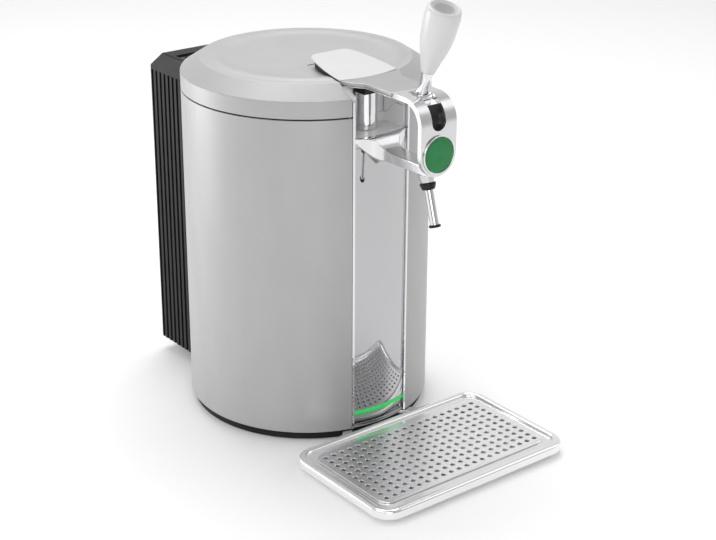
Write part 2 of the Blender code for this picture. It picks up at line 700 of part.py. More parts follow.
def make_well():
    outer = WELL_RADIUS + WELL_WALL
    top = POCKET_FLOOR_Z - POCKET_FLOOR + WELL_WALL * 2
    floor = WELL_FLOOR_Z + WELL_WALL
    rim = top - WELL_WALL
    place("keg_well", turned([(0, WELL_FLOOR_Z), (outer, WELL_FLOOR_Z), (outer, rim), (outer + WELL_RIM, rim),
                              (outer + WELL_RIM, top), (WELL_RADIUS, top), (WELL_RADIUS, floor), (0, floor)]),
          "aluminium")
    bore = outer + ROUND_GAP
    skin = BODY_RADIUS - PANEL_STEP - PANEL_WALL - GAP
    shoulder = rim - GAP
    deck_foot = SEAM_Z - SEAM_GAP / 2 - GAP * 2 - DECK_THICK
    step = DECK_RADIUS + DECK_WALL + GAP
    profile = [(0, FOAM_FLOOR_Z), (skin, FOAM_FLOOR_Z), (skin, deck_foot), (step, deck_foot), (step, shoulder),
               (bore, shoulder), (bore, WELL_FLOOR_Z - ROUND_GAP), (0, WELL_FLOOR_Z - ROUND_GAP)]
    foam = place("insulation", turned(profile), "foam")
    side = NOTCH_HALF
    room = SINK_HALF_WIDTH + GAP * 2
    half = SINK_HEIGHT / 2 + GAP * 2
    under_pocket = POCKET_FLOOR_Z - POCKET_FLOOR - GAP
    cut(foam,
        box(-side, side, -BODY_RADIUS, -WELL_RADIUS / 2, under_pocket, deck_foot + OVERRUN),
        box(-room, room, WELL_RADIUS / 2, BODY_RADIUS + OVERRUN, COOLER_Z - half, COOLER_Z + half))


# Cooling unit

def make_cooler():
    half = COLD_HEIGHT / 2
    cold = place("cold_plate", box(-COLD_HALF_WIDTH, COLD_HALF_WIDTH, COLD_FRONT, COLD_BACK,
                                   COOLER_Z - half, COOLER_Z + half), "aluminium")
    cut(cold, disc(WELL_RADIUS + WELL_WALL + GAP, COOLER_Z - half - OVERRUN, COOLER_Z + half + OVERRUN))
    chip = PELTIER_SIDE / 2
    chip_front = COLD_BACK + GAP
    chip_back = chip_front + PELTIER_THICK
    module = box(-chip, chip, chip_front, chip_back, COOLER_Z - chip, COOLER_Z + chip)
    place("peltier_module", module, "ceramic")
    base_front = chip_back + GAP
    base_back = base_front + SINK_BASE
    tip = base_front + SINK_DEPTH
    pitch = (SINK_HALF_WIDTH * 2 - SINK_FIN_WALL) / (SINK_FINS - 1)
    comb = [(-SINK_HALF_WIDTH, base_front)]
    for i in range(SINK_FINS):
        left = -SINK_HALF_WIDTH + pitch * i
        foot = [] if i == 0 else [(left, base_back)]
        comb += foot + [(left, tip), (left + SINK_FIN_WALL, tip), (left + SINK_FIN_WALL, base_back)]
    comb[-1] = (SINK_HALF_WIDTH, base_front)
    fins = prism(comb, COOLER_Z - SINK_HEIGHT / 2, COOLER_Z + SINK_HEIGHT / 2)
    place("heat_sink", fins, "aluminium", smooth=False)
    make_fan(tip + GAP)


def make_fan(front):
    half = FAN_SIDE / 2
    back = front + FAN_DEPTH
    grid = back - FAN_BACK
    square = box(-half, half, front, back, COOLER_Z - half, COOLER_Z + half)
    frame = place("fan_frame", square, "black_plastic")
    bore = prism(circle(0, COOLER_Z, FAN_BORE, FACETS_MEDIUM), front - OVERRUN, grid, "Y")
    cut(frame, bore)
    inner = ROTOR_HUB + GAP
    for turn in range(4):
        wedge = [(math.sin(a) * r, COOLER_Z + math.cos(a) * r)
                 for a, r in fan_window(turn, inner)]
        cut(frame, prism(wedge, grid - OVERRUN / 2, back + OVERRUN, "Y"))
    add_axis("fan", "body", front + FAN_DEPTH / 2, COOLER_Z)
    place("fan_rotor", rotor(front + GAP * 4, grid - GAP * 2), "dark_plastic", "fan", smooth=False)


def fan_window(turn, inner):
    """Angle and radius of the corners of one window between the arms of the fan's back."""
    outer = FAN_BORE - GAP
    start = math.radians(90 * turn)
    end = math.radians(90 * (turn + 1))
    low = [start + FAN_ARM / 2 / inner, end - FAN_ARM / 2 / inner]
    high = [start + FAN_ARM / 2 / outer, end - FAN_ARM / 2 / outer]
    steps = FACETS_SMALL // 2
    rim = [(high[0] + (high[1] - high[0]) * i / steps, outer) for i in range(steps + 1)]
    hub = [(low[1] + (low[0] - low[1]) * i / 2, inner) for i in range(3)]
    return rim + hub


def rotor(front, back, layers=3):
    """A hub with blades that twist from front to back, as one closed skin."""
    mesh = bmesh.new()
    step = 2 * math.pi / ROTOR_BLADES
    blade = ROTOR_BLADE_WALL / ROTOR_HUB
    outline = []
    for i in range(ROTOR_BLADES):
        start = step * i
        outline += [(start, ROTOR_HUB), (start, ROTOR_RADIUS), (start + blade / 2, ROTOR_RADIUS),
                    (start + blade, ROTOR_HUB), (start + (step + blade) / 2, ROTOR_HUB)]
    rows = []
    for k in range(layers + 1):
        share = k / layers
        twist = math.radians(ROTOR_TWIST_DEG) * share
        y = front + (back - front) * share
        rows.append([mesh.verts.new((r * math.sin(a + twist), y, COOLER_Z + r * math.cos(a + twist)))
                     for a, r in outline])
    count = len(outline)
    for low, high in zip(rows, rows[1:]):
        for i in range(count):
            j = (i + 1) % count
            mesh.faces.new((low[i], low[j], high[j]))
            mesh.faces.new((low[i], high[j], high[i]))
    mesh.faces.new(rows[0])
    mesh.faces.new(rows[-1])
    return mesh


def make_housing():
    outer = [(HOUSING_FRONT, HOUSING_FOOT_Z), (HOUSING_BACK, HOUSING_FOOT_Z), (HOUSING_BACK, HOUSING_SLOPE_Z),
             (HOUSING_SLOPE_Y, HOUSING_TOP_Z), (HOUSING_FRONT, HOUSING_TOP_Z)]
    wall = HOUSING_WALL
    low_y = HOUSING_FRONT - OVERRUN
    hollow = [(low_y, HOUSING_FOOT_Z + wall), (HOUSING_BACK - wall, HOUSING_FOOT_Z + wall),
              (HOUSING_BACK - wall, HOUSING_SLOPE_Z - wall / 2),
              (HOUSING_SLOPE_Y - wall / 3, HOUSING_TOP_Z - wall), (low_y, HOUSING_TOP_Z - wall)]
    half = HOUSING_HALF_WIDTH
    inner = half - HOUSING_SIDE_WALL
    housing = place("rear_housing", prism(outer, -half, half, "X"), "black_plastic", smooth=False)
    front = BODY_RADIUS + GAP
    swing = BODY_RADIUS + LID_SWING_GAP
    deck = SEAM_Z - SEAM_GAP / 2
    grooves = []
    for i in range(RIB_COUNT):
        y = HOUSING_BACK - RIB_PITCH * (i + 1) + RIB_GROOVE / 2
        for side in (-1, 1):
            ends = sorted((side * (half - RIB_DEPTH), side * (half + OVERRUN)))
            grooves.append(box(*ends, y, y + RIB_GROOVE, 0, RIB_TOP_Z))
    span = HINGE_SPAN + GAP
    above = HOUSING_TOP_Z + OVERRUN
    recess = box(-span, span, HOUSING_FRONT - OVERRUN, RECESS_BACK, HOUSING_TOP_Z - OVERRUN, above)
    vent_x = GRILLE_HALF_WIDTH + GAP
    vent_z = GRILLE_HALF_HEIGHT + GAP
    back = HOUSING_BACK - wall - OVERRUN / 2
    behind = HOUSING_BACK + OVERRUN
    vent = box(-vent_x, vent_x, back, behind, COOLER_Z - vent_z, COOLER_Z + vent_z)
    inlet_hole = socket_box(SOCKET_X, INLET_WIDTH / 2 + GAP, INLET_HEIGHT / 2 + GAP, back, behind)
    switch_hole = socket_box(-SOCKET_X, SWITCH_WIDTH / 2 + GAP, SWITCH_HEIGHT / 2 + GAP, back, behind)
    cut(housing, prism(hollow, -inner, inner, "X"), disc(front, 0, deck), disc(swing, deck - GAP, above),
        joined(*grooves), recess, vent, inlet_hole, switch_hole)
    posts = [prism(circle(x, z, POST_RADIUS, FACETS_SMALL), HOUSING_BACK - wall - POST_LENGTH,
                   HOUSING_BACK - wall / 2, "Y")
             for x in (-BOARD_HALF_WIDTH + POST_RADIUS * 2, BOARD_HALF_WIDTH - POST_RADIUS * 2)
             for z in (BOARD_Z + POST_RADIUS * 2, BOARD_Z + BOARD_HEIGHT - POST_RADIUS * 2)]
    fuse(housing, joined(*posts))
    make_grille()


def socket_box(x, half_width, half_height, front, back):
    return box(x - half_width, x + half_width, front, back, SOCKET_Z - half_height, SOCKET_Z + half_height)


def make_grille():
    back = HOUSING_BACK - GAP
    plate = box(-GRILLE_HALF_WIDTH, GRILLE_HALF_WIDTH, back - GRILLE_WALL, back,
                COOLER_Z - GRILLE_HALF_HEIGHT, COOLER_Z + GRILLE_HALF_HEIGHT)
    grille = place("rear_grille", plate, "black_plastic")
    high = GRILLE_HALF_HEIGHT - GRILLE_MARGIN_Z
    slots = []
    for i in range(GRILLE_SLOTS):
        x = (i - (GRILLE_SLOTS - 1) / 2) * GRILLE_PITCH - GRILLE_SLOT / 2
        slots.append(box(x, x + GRILLE_SLOT, back - OVERRUN, back + OVERRUN,
                         COOLER_Z - high, COOLER_Z + high))
    cut(grille, joined(*slots))


def make_electrics():
    back = HOUSING_BACK - GAP
    socket = socket_box(SOCKET_X, INLET_WIDTH / 2, INLET_HEIGHT / 2, back - INLET_DEPTH, back)
    inlet = place("power_inlet", socket, "dark_plastic", smooth=False)
    mouth = INLET_WIDTH / 2 - INLET_WALL
    bottom = back - INLET_MOUTH
    cut(inlet, socket_box(SOCKET_X, mouth, INLET_HEIGHT / 2 - INLET_WALL, bottom, back + OVERRUN))
    for side in (-1, 1):
        fuse(inlet, prism(circle(SOCKET_X + side * mouth / 2, SOCKET_Z, PIN_RADIUS, FACETS_SMALL),
                          bottom - INLET_WALL, back - INLET_WALL, "Y"))
    body = socket_box(-SOCKET_X, SWITCH_WIDTH / 2, SWITCH_HEIGHT / 2, back - SWITCH_DEPTH, back)
    case = place("switch_case", body, "dark_plastic", smooth=False)
    room_x = SWITCH_WIDTH / 2 - SWITCH_WALL
    room_z = SWITCH_HEIGHT / 2 - SWITCH_WALL
    pivot = back - SWITCH_WALL
    cut(case, socket_box(-SOCKET_X, room_x, room_z, pivot - SWITCH_ROOM, back + OVERRUN))
    add_axis("switch", "body", pivot, SOCKET_Z)
    reach = ROCKER_REACH
    dip = reach * math.tan(math.radians(ROCKER_DIP_DEG))
    inner = reach * ROCKER_BACK_SHARE
    outline = [(-ROCKER_THICK, -inner), (-ROCKER_THICK, inner), (dip, reach), (0, 0), (dip, -reach)]
    width = room_x - ROUND_GAP
    rocker = prism(outline, -SOCKET_X - width, -SOCKET_X + width, "X")
    leaned(rocker, pivot, SOCKET_Z, -ROCKER_DIP_DEG)
    place("rocker_switch", rocker, "black_plastic", "switch", smooth=False)
    board_back = HOUSING_BACK - HOUSING_WALL - POST_LENGTH - GAP
    board_front = board_back - BOARD_THICK
    board = place("power_board", box(-BOARD_HALF_WIDTH, BOARD_HALF_WIDTH, board_front, board_back,
                                     BOARD_Z, BOARD_Z + BOARD_HEIGHT), "board_green", smooth=False)
    coil = COIL_SIDE / 2
    middle = BOARD_Z + BOARD_HEIGHT / 2
    fuse(board, box(-coil, coil, board_front - COIL_SIDE, board_front + BOARD_THICK / 2, middle - coil / 2,
                    middle + coil / 2))


# Hinge and lid

def make_hinge():
    wall = HOUSING_WALL
    back = RECESS_BACK - GAP
    low = RECESS_FLOOR_Z - wall
    cheek = HINGE_HALF_WIDTH + GAP * 4
    span = HINGE_SPAN - GAP
    above = BRACKET_TOP_Z + OVERRUN
    block = box(-span, span, HOUSING_FRONT, back, low, BRACKET_TOP_Z)
    bracket = place("hinge_bracket", block, "dark_plastic", smooth=False)
    cut(bracket, box(-cheek, cheek, HOUSING_FRONT - OVERRUN, back - wall, RECESS_FLOOR_Z, above),
        disc(BODY_RADIUS + GAP, 0, SEAM_Z - SEAM_GAP / 2),
        disc(BODY_RADIUS + LID_SWING_GAP, SEAM_Z - SEAM_GAP, above),
        rod(HINGE_PIN + GAP, -HINGE_SPAN * 2, HINGE_SPAN * 2, HINGE_Y, HINGE_Z))
    place("hinge_pin", rod(HINGE_PIN, -span + wall, span - wall, HINGE_Y, HINGE_Z), "steel")
    add_axis("lid", "body", HINGE_Y, HINGE_Z)
    leaf = place("hinge_leaf", rod(HINGE_BARREL, -HINGE_HALF_WIDTH, HINGE_HALF_WIDTH, HINGE_Y, HINGE_Z,
                                   FACETS_MEDIUM), "dark_plastic", "lid", smooth=False)
    lip = SEAM_Z + SEAM_GAP / 2 + GAP
    leaf_top = HINGE_Z + HINGE_BARREL * LEAF_TOP_SHARE
    fuse(leaf, box(-HINGE_HALF_WIDTH, HINGE_HALF_WIDTH, HOUSING_FRONT, HINGE_Y, lip, leaf_top))
    cut(leaf, disc(BODY_RADIUS + GAP, 0, HOUSING_TOP_Z + OVERRUN),
        rod(HINGE_PIN + GAP, -HINGE_SPAN * 2, HINGE_SPAN * 2, HINGE_Y, HINGE_Z))


def lid_slope(radius):
    """Height of the lid's sloping shoulder, inside its wall, at a radius."""
    share = (BODY_RADIUS - radius) / (BODY_RADIUS - LID_TOP_RADIUS)
    return LID_BAND_Z - LID_SLOPE_WALL + (LID_TOP_Z - LID_BAND_Z) * share


def make_lid():
    lip = SEAM_Z + SEAM_GAP / 2
    wall = BODY_RADIUS - LID_WALL
    crest = LID_TOP_Z + LID_CREST
    top = [(BODY_RADIUS, lip), (BODY_RADIUS, LID_BAND_Z - EDGE_ROUND),
           (BODY_RADIUS - EDGE_ROUND / 2, LID_BAND_Z),
           (LID_TOP_RADIUS + EDGE_ROUND / 2, LID_TOP_Z - EDGE_ROUND / 3),
           (LID_TOP_RADIUS - EDGE_ROUND, LID_TOP_Z), (LID_CREST_RADIUS, crest),
           (LID_DISH_RADIUS, LID_TOP_Z + LID_CREST / 3), (0, LID_TOP_Z)]
    under = LID_TOP_Z - LID_WALL
    inside = [(0, under), (LID_CREST_RADIUS, under), (LID_TOP_RADIUS - LID_WALL, lid_slope(LID_TOP_RADIUS)),
              (wall, lid_slope(wall)), (wall, lip)]
    shell = place("lid_shell", turned(top + inside), "lid_silver", "lid")
    side = NOTCH_HALF + GAP
    channel = flap_outline(FLAP_CHANNEL_MARGIN, FLAP_CHANNEL_MARGIN * 4)
    above = crest + OVERRUN
    cut(shell, front_strip(-side, side, LID_TOP_RADIUS, BODY_RADIUS + OVERRUN, lip - OVERRUN, above),
        prism(channel, FLAP_CHANNEL_Z, above))
    make_lid_inside(lip, under)


def make_lid_inside(lip, under):
    wall = BODY_RADIUS - LID_WALL - GAP
    side = NOTCH_HALF + GAP
    floor = lip + GAP
    plate = ring(DECK_RADIUS + GAP, wall, floor, floor + LINER_WALL)
    liner = place("lid_liner", plate, "grey_plastic", "lid")
    cheek = side + LINER_WALL
    cut(liner, front_strip(-side, side, WELL_RADIUS, BODY_RADIUS + OVERRUN, floor - OVERRUN, floor + OVERRUN))
    outer_y = math.sqrt(wall ** 2 - cheek ** 2) - GAP
    shoulder_y = math.sqrt(LID_TOP_RADIUS ** 2 - cheek ** 2)
    back_y = math.sqrt(DECK_RADIUS ** 2 - side ** 2) + GAP
    outline = [(-back_y, floor), (-outer_y, floor), (-outer_y, lid_slope(wall) - LID_WALL / 2),
               (-shoulder_y, under - LID_WALL), (-back_y, under - LID_WALL)]
    for low, high in ((-cheek, -side), (side, cheek)):
        fuse(liner, prism(outline, low, high, "X"))
    bite = COLUMN_RADIUS + COLUMN_CLEAR
    plug_top = under - GAP
    plug = place("lid_plug", prism(scalloped(POCKET_RADIUS, bite), PLUG_SEAM_Z, plug_top),
                 "grey_plastic", "lid")
    cut(plug, prism(scalloped(POCKET_RADIUS - PLUG_WALL, bite + PLUG_WALL), PLUG_SEAM_Z + PLUG_WALL,
                    plug_top + OVERRUN))
    place("lid_foam", prism(scalloped(POCKET_RADIUS - PLUG_WALL - ROUND_GAP, bite + PLUG_WALL + ROUND_GAP),
                            PLUG_SEAM_Z + PLUG_WALL + GAP, plug_top - GAP), "foam", "lid")


def flap_outline(margin=0.0, back_margin=0.0, steps=8):
    """Plan of the tongue-shaped flap: round at the lid's front edge, drawn in towards the back."""
    front = FLAP_FRONT + margin
    half = FLAP_FRONT_HALF + margin
    points = [(half * i / steps * 2 - half, -math.sqrt(front ** 2 - (half * i / steps * 2 - half) ** 2))
              for i in range(steps + 1)]
    corner_y = -points[0][1]
    back = FLAP_BACK - back_margin
    right = []
    for i in range(1, steps + 1):
        share = i / steps
        x = half + (FLAP_BACK_HALF + margin - half) * share ** 2
        right.append((x, -corner_y + (corner_y - back) * share))
    return points + right + [(-x, y) for x, y in reversed(right)]


def make_flap():
    """The pearl flap over the tube channel, hinged at its raised back end."""
    slope = FLAP_RISE / (FLAP_FRONT - FLAP_BACK)
    low = FLAP_CHANNEL_Z + GAP

    def under_z(y):
        return low + (FLAP_FRONT + y) * slope

    axis_y = -FLAP_AXIS_Y
    axis_z = under_z(axis_y) - FLAP_DROP
    add_axis("flap", "lid", axis_y, axis_z)
    plate = prism(flap_outline(), 0, FLAP_WALL)
    for vert in plate.verts:
        vert.co.z += under_z(vert.co.y)
    flap = place("tube_flap", plate, "pearl", "flap")
    half = FLAP_BARREL_HALF
    fuse(flap, prism(circle(axis_y, axis_z, FLAP_BARREL, FACETS_SMALL), -half, half, "X"),
         box(-half, half, axis_y - FLAP_NECK, axis_y + FLAP_NECK, axis_z,
             under_z(axis_y) + FLAP_WALL / 2))
    cut(flap, rod(FLAP_PIN + GAP, -FLAP_FRONT_HALF, FLAP_FRONT_HALF, axis_y, axis_z))
    foot = FLAP_CHANNEL_Z + GAP
    seat = under_z(axis_y) - FLAP_DROP - FLAP_BARREL - GAP * 2
    outer = half + GAP + FLAP_EAR
    post = place("flap_post", box(-outer, outer, axis_y - FLAP_BARREL, axis_y + FLAP_BARREL, foot, axis_z),
                 "black_plastic", "lid", smooth=False)
    fuse(post, rod(FLAP_BARREL, -outer, outer, axis_y, axis_z))
    cut(post, box(-half - GAP, half + GAP, axis_y - FLAP_BARREL * 2, axis_y + FLAP_BARREL * 2,
                  seat, axis_z + OVERRUN),
        rod(FLAP_PIN + GAP, -FLAP_FRONT_HALF, FLAP_FRONT_HALF, axis_y, axis_z))
    place("flap_pin", rod(FLAP_PIN, -outer, outer, axis_y, axis_z), "steel", "lid")


# Tap

def make_column():
    foot = POCKET_FLOOR_Z + GAP
    place("tap_column", disc(COLUMN_RADIUS, foot, COLUMN_TOP_Z, FACETS_MEDIUM, 0, -COLUMN_Y), "chrome")
    wide_y = -math.sqrt(DECK_RADIUS ** 2 - COLLAR_HALF ** 2) - COLUMN_CLEAR
    outline = [(-COLLAR_HALF, -COLLAR_FRONT), (COLLAR_HALF, -COLLAR_FRONT), (COLLAR_HALF, wide_y),
               (COLUMN_RADIUS, wide_y)]
    outline += arc(0, -COLUMN_Y, COLUMN_RADIUS, COLLAR_DEG, 180 - COLLAR_DEG, FACETS_SMALL)
    outline += [(-COLUMN_RADIUS, wide_y), (-COLLAR_HALF, wide_y)]
    under_lid = LID_TOP_Z - LID_WALL - LID_SHADOW_GAP
    block = prism(outline, COLUMN_TOP_Z + GAP, ARM_TOP_Z - ARM_THICK - GAP)
    collar = place("column_collar", block, "black_plastic")
    cut(collar, disc(LID_TOP_RADIUS + ROUND_GAP * 2, under_lid, ARM_TOP_Z))


def make_arms():
    rear = LID_TOP_RADIUS + ROUND_GAP
    steps = 8
    flare = []
    corner_y = -math.sqrt(rear ** 2 - ARM_FLARE ** 2)
    for i in range(1, steps + 1):
        share = i / steps
        eased = 1 - (1 - share) ** 3
        flare.append((ARM_FLARE + (ARM_HALF - ARM_FLARE) * eased,
                      corner_y + (-ARM_FLARE_END - corner_y) * share))
    end_y = -ARM_END
    back = [(ARM_FLARE * (1 - i / steps * 2), -math.sqrt(rear ** 2 - (ARM_FLARE * (1 - i / steps * 2)) ** 2))
            for i in range(steps + 1)]
    outline = back + [(-x, y) for x, y in flare] + [(-ARM_HALF, end_y), (ARM_HALF, end_y)] + flare[::-1]
    arm = place("upper_arm", prism(outline, ARM_TOP_Z - ARM_THICK, ARM_TOP_Z), "satin_silver")
    bevel(arm, HEAD_EDGE)
    make_low_arm()


def make_low_arm():
    """The arm over the spout. Its root spreads over the panel's whole width and follows the panel's curve."""
    root = BODY_RADIUS - PANEL_STEP + CAP_PROUD + GAP
    end = HEAD_TURN_Y + HEAD_RADIUS - HEAD_WALL - GAP
    mesh = bmesh.new()
    rows = []
    for reach, spread, rise in LOW_ARM_SHARES + (((end - root) / LOW_ARM_BEND, 0.0, 0.0),):
        points = low_arm_section(root, LOW_ARM_BEND * reach, spread, rise)
        rows.append([mesh.verts.new(point) for point in points])
    count = len(rows[0])
    for one, two in zip(rows, rows[1:]):
        for i in range(count):
            j = (i + 1) % count
            mesh.faces.new((one[i], one[j], two[j], two[i]))
    for row in (rows[0], rows[-1]):
        for i in range(LOW_ARM_STEPS):
            mesh.faces.new((row[i], row[i + 1], row[count - 2 - i], row[count - 1 - i]))
    place("lower_arm", mesh, "chrome")


def low_arm_section(root, reach, spread, rise):
    """One section of the arm: its top from side to side, then its keel back again."""
    half = LOW_ARM_HALF + (LOW_ARM_ROOT_HALF - LOW_ARM_HALF) * spread
    top = LOW_ARM_TOP_Z + LOW_ARM_ROOT_RISE * rise
    low = LOW_ARM_FOOT_Z - LOW_ARM_ROOT_FALL * spread
    side_height = (top - LOW_ARM_LIP - low) * spread + LOW_ARM_EDGE / 2 * (1 - spread)
    keel = LOW_ARM_HALF - LOW_ARM_EDGE
    upper = []
    lower = []
    for i in range(LOW_ARM_STEPS + 1):
        x = half * (i / LOW_ARM_STEPS * 2 - 1)
        y = (root - math.sqrt(root ** 2 - x ** 2)) * spread - root - reach
        outer_share = max(0, abs(x) - keel) / (half - keel)
        upper.append((x, y, top - (LOW_ARM_EDGE / 2 if i in (0, LOW_ARM_STEPS) else 0)))
        lower.append((x, y, low + side_height * outer_share))
    return upper + lower[::-1]


def head_outline():
    """The tap head from the side: the band over the top and its face down the front."""
    steps = 8
    turn_z = ARM_TOP_Z - HEAD_RADIUS
    inner = HEAD_RADIUS - HEAD_WALL
    foot = BADGE_Z - HEAD_HALF
    points = [(-ARM_END - GAP, ARM_TOP_Z)] + arc(-HEAD_TURN_Y, turn_z, HEAD_RADIUS, 90, 180, steps)
    points += [(-HEAD_TURN_Y - HEAD_RADIUS, foot), (-HEAD_TURN_Y - inner, foot)]
    return points + arc(-HEAD_TURN_Y, turn_z, inner, 180, 90, steps) + [(-ARM_END - GAP, turn_z + inner)]


def make_head():
    head = place("tap_head", prism(head_outline(), -HEAD_HALF, HEAD_HALF, "X"), "chrome")
    slot_z = SLOT_FOOT_Z + SLOT_HALF
    high = ARM_TOP_Z + OVERRUN
    slot = [(SLOT_HALF, high)] + arc(0, slot_z, SLOT_HALF, 0, -180, FACETS_SMALL // 2) + [(-SLOT_HALF, high)]
    face = HEAD_TURN_Y + HEAD_RADIUS
    wide = HEAD_HALF + OVERRUN
    shield = [(wide, high)] + arc(0, BADGE_Z, HEAD_HALF, 0, -180, FACETS_MEDIUM // 2) + [(-wide, high)]
    shield[1:1] = [(wide, BADGE_Z)]
    shield[-1:-1] = [(-wide, BADGE_Z)]
    combine(head, prism(shield, -face - OVERRUN, -ARM_END + OVERRUN, "Y"), "INTERSECT")
    ear = SLOT_HALF + GAP
    fuse(head, rod(EAR_RADIUS, -ear - EAR_THICK, -ear, -LEVER_Y, LEVER_Z),
         rod(EAR_RADIUS, ear, ear + EAR_THICK, -LEVER_Y, LEVER_Z))
    cut(head, prism(slot, -face - OVERRUN, -SLOT_BACK, "Y"),
        rod(LEVER_PIN + GAP, -ear - EAR_THICK - GAP, ear + EAR_THICK + GAP, -LEVER_Y, LEVER_Z))
    radius = HEAD_RADIUS - HEAD_WALL - GAP
    inner = radius - SLOT_LINER
    turn = (-HEAD_TURN_Y, ARM_TOP_Z - HEAD_RADIUS)
    foot = SLOT_FOOT_Z - SLOT_LINER_LAP
    liner = arc(*turn, radius, SLOT_LINER_TOP_DEG, 180, 5)
    liner += [(turn[0] - radius, foot), (turn[0] - inner, foot)]
    liner += arc(*turn, inner, 180, SLOT_LINER_TOP_DEG, 5)
    place("slot_liner", prism(liner, -SLOT_LINER_HALF, SLOT_LINER_HALF, "X"), "black_plastic")
    badge_back = -face - GAP
    rim = BADGE_RADIUS + GAP
    disc_plan = circle(0, BADGE_Z, BADGE_RADIUS, FACETS_MEDIUM)
    place("badge", prism(disc_plan, badge_back - BADGE_THICK, badge_back, "Y"), "green_enamel")
    ring_mesh = ring(rim, rim + BADGE_RIM, GAP, GAP + BADGE_THICK, FACETS_MEDIUM)
    ring_mesh.transform(Matrix.Translation((0, -face, BADGE_Z)) @ Matrix.Rotation(math.radians(90), 4, "X"))
    place("badge_ring", ring_mesh, "chrome")


def make_lever():
    add_axis("lever", "body", -LEVER_Y, LEVER_Z)
    lean = LEVER_LEAN_DEG
    hub = rod(LEVER_HUB, -LEVER_HUB_HALF, LEVER_HUB_HALF, -LEVER_Y, LEVER_Z, FACETS_MEDIUM)
    lever = place("lever", hub, "chrome", "lever")
    stem = box(-LEVER_HALF, LEVER_HALF, -LEVER_DEPTH, LEVER_DEPTH, 0, LEVER_NECK)
    spigot = disc(SPIGOT_RADIUS, LEVER_NECK / 2, LEVER_NECK + SPIGOT_LENGTH, FACETS_SMALL)
    fuse(lever, leaned(stem, -LEVER_Y, LEVER_Z, lean), leaned(spigot, -LEVER_Y, LEVER_Z, lean))
    cut(lever, rod(LEVER_PIN + GAP, -HEAD_HALF, HEAD_HALF, -LEVER_Y, LEVER_Z))
    half = SLOT_HALF + EAR_THICK
    place("lever_pin", rod(LEVER_PIN, -half, half, -LEVER_Y, LEVER_Z), "steel")
    foot = LEVER_NECK + GAP
    top = foot + HANDLE_LENGTH
    bore = SPIGOT_RADIUS + ROUND_GAP
    bore_top = LEVER_NECK + SPIGOT_LENGTH + GAP
    lip = HANDLE_RADIUS - HANDLE_RIM
    grown = HANDLE_RADIUS - HANDLE_NECK_RADIUS
    swell = [(HANDLE_NECK_RADIUS + grown * share, foot + HANDLE_LENGTH * height_share)
             for share, height_share in HANDLE_SHARES]
    profile = swell + [(HANDLE_RADIUS - HANDLE_RIM / 3, top - HANDLE_RIM / 2), (lip + HANDLE_RIM / 2, top),
                       (lip, top - HANDLE_RIM / 3), (lip, top - CAP_DEPTH), (0, top - CAP_DEPTH),
                       (0, bore_top), (bore, bore_top), (bore, foot)]
    place("tap_handle", leaned(turned(profile, FACETS_MEDIUM), -LEVER_Y, LEVER_Z, lean), "frosted", "lever")
    seat = top - CAP_DEPTH + GAP
    cap = disc(lip - GAP, seat, seat + CAP_THICK, FACETS_MEDIUM)
    place("handle_cap", leaned(cap, -LEVER_Y, LEVER_Z, lean), "handle_core", "lever")


def make_spout():
    lean = -SPOUT_LEAN_DEG
    low = -NOZZLE_LENGTH

    def hang(name, profile, material):
        mesh = turned(profile, FACETS_MEDIUM)
        return place(name, leaned(mesh, -SPOUT_Y, SPOUT_Z, lean), material)

    nozzle = hang("nozzle", [(NOZZLE_RADIUS, NOZZLE_NECK), (NOZZLE_RADIUS, -NOZZLE_NECK),
                             (NOZZLE_TIP_RADIUS, low), (TUBE_BORE, low), (TUBE_BORE, NOZZLE_NECK)],
                  "satin_silver")
    cut(nozzle, box(-HEAD_HALF, HEAD_HALF, -TRAY_FRONT, -BODY_RADIUS, LOW_ARM_FOOT_Z - GAP,
                    LOW_ARM_FOOT_Z + OVERRUN * 2))
    top = low - GAP
    low = top - COLLAR_LENGTH
    hang("spout_collar", [(COLLAR_RADIUS, top), (COLLAR_RADIUS, top - COLLAR_LENGTH / 4),
                          (COLLAR_TIP_RADIUS, low), (TUBE_BORE, low), (TUBE_BORE, top)], "black_plastic")
    top = low - GAP
    low = top - TUBE_LENGTH
    hang("spout_tube", [(TUBE_RADIUS, top), (TUBE_RADIUS, low), (TUBE_BORE, low), (TUBE_BORE, top)], "chrome")
    top = low - GAP
    low = top - TIP_LENGTH
    hang("spout_tip", [(TIP_RADIUS, top), (TIP_RADIUS, low), (TUBE_BORE, low), (TUBE_BORE, top)],
         "black_plastic")


def make_valve():
    """The rod behind the head's face, which the lever raises to open the valve."""
    back = -HEAD_TURN_Y - HEAD_RADIUS + HEAD_WALL + GAP
    add_axis("valve", "body", back + ROD_THICK / 2, ROD_FOOT_Z)
    place("valve_rod", box(-ROD_HALF, ROD_HALF, back, back + ROD_THICK, ROD_FOOT_Z,
                          ROD_FOOT_Z + ROD_LENGTH), "steel", "valve")


# Drip tray

def tray_outline(inset):
    """The tray's rounded plan, drawn in all round by the inset."""
    half = TRAY_HALF_WIDTH - inset
    front = -TRAY_FRONT + inset
    back = -TRAY_BACK - inset
    corner = max(TRAY_CORNER - inset, TRAY_CORNER / 4)
    steps = TRAY_CORNER_STEPS
    points = arc(half - corner, back - corner, corner, 0, 90, steps)
    points += arc(-half + corner, back - corner, corner, 90, 180, steps)
    points += arc(-half + corner, front + corner, corner, 180, 270, steps)
    return points + arc(half - corner, front + corner, corner, 270, 360, steps)


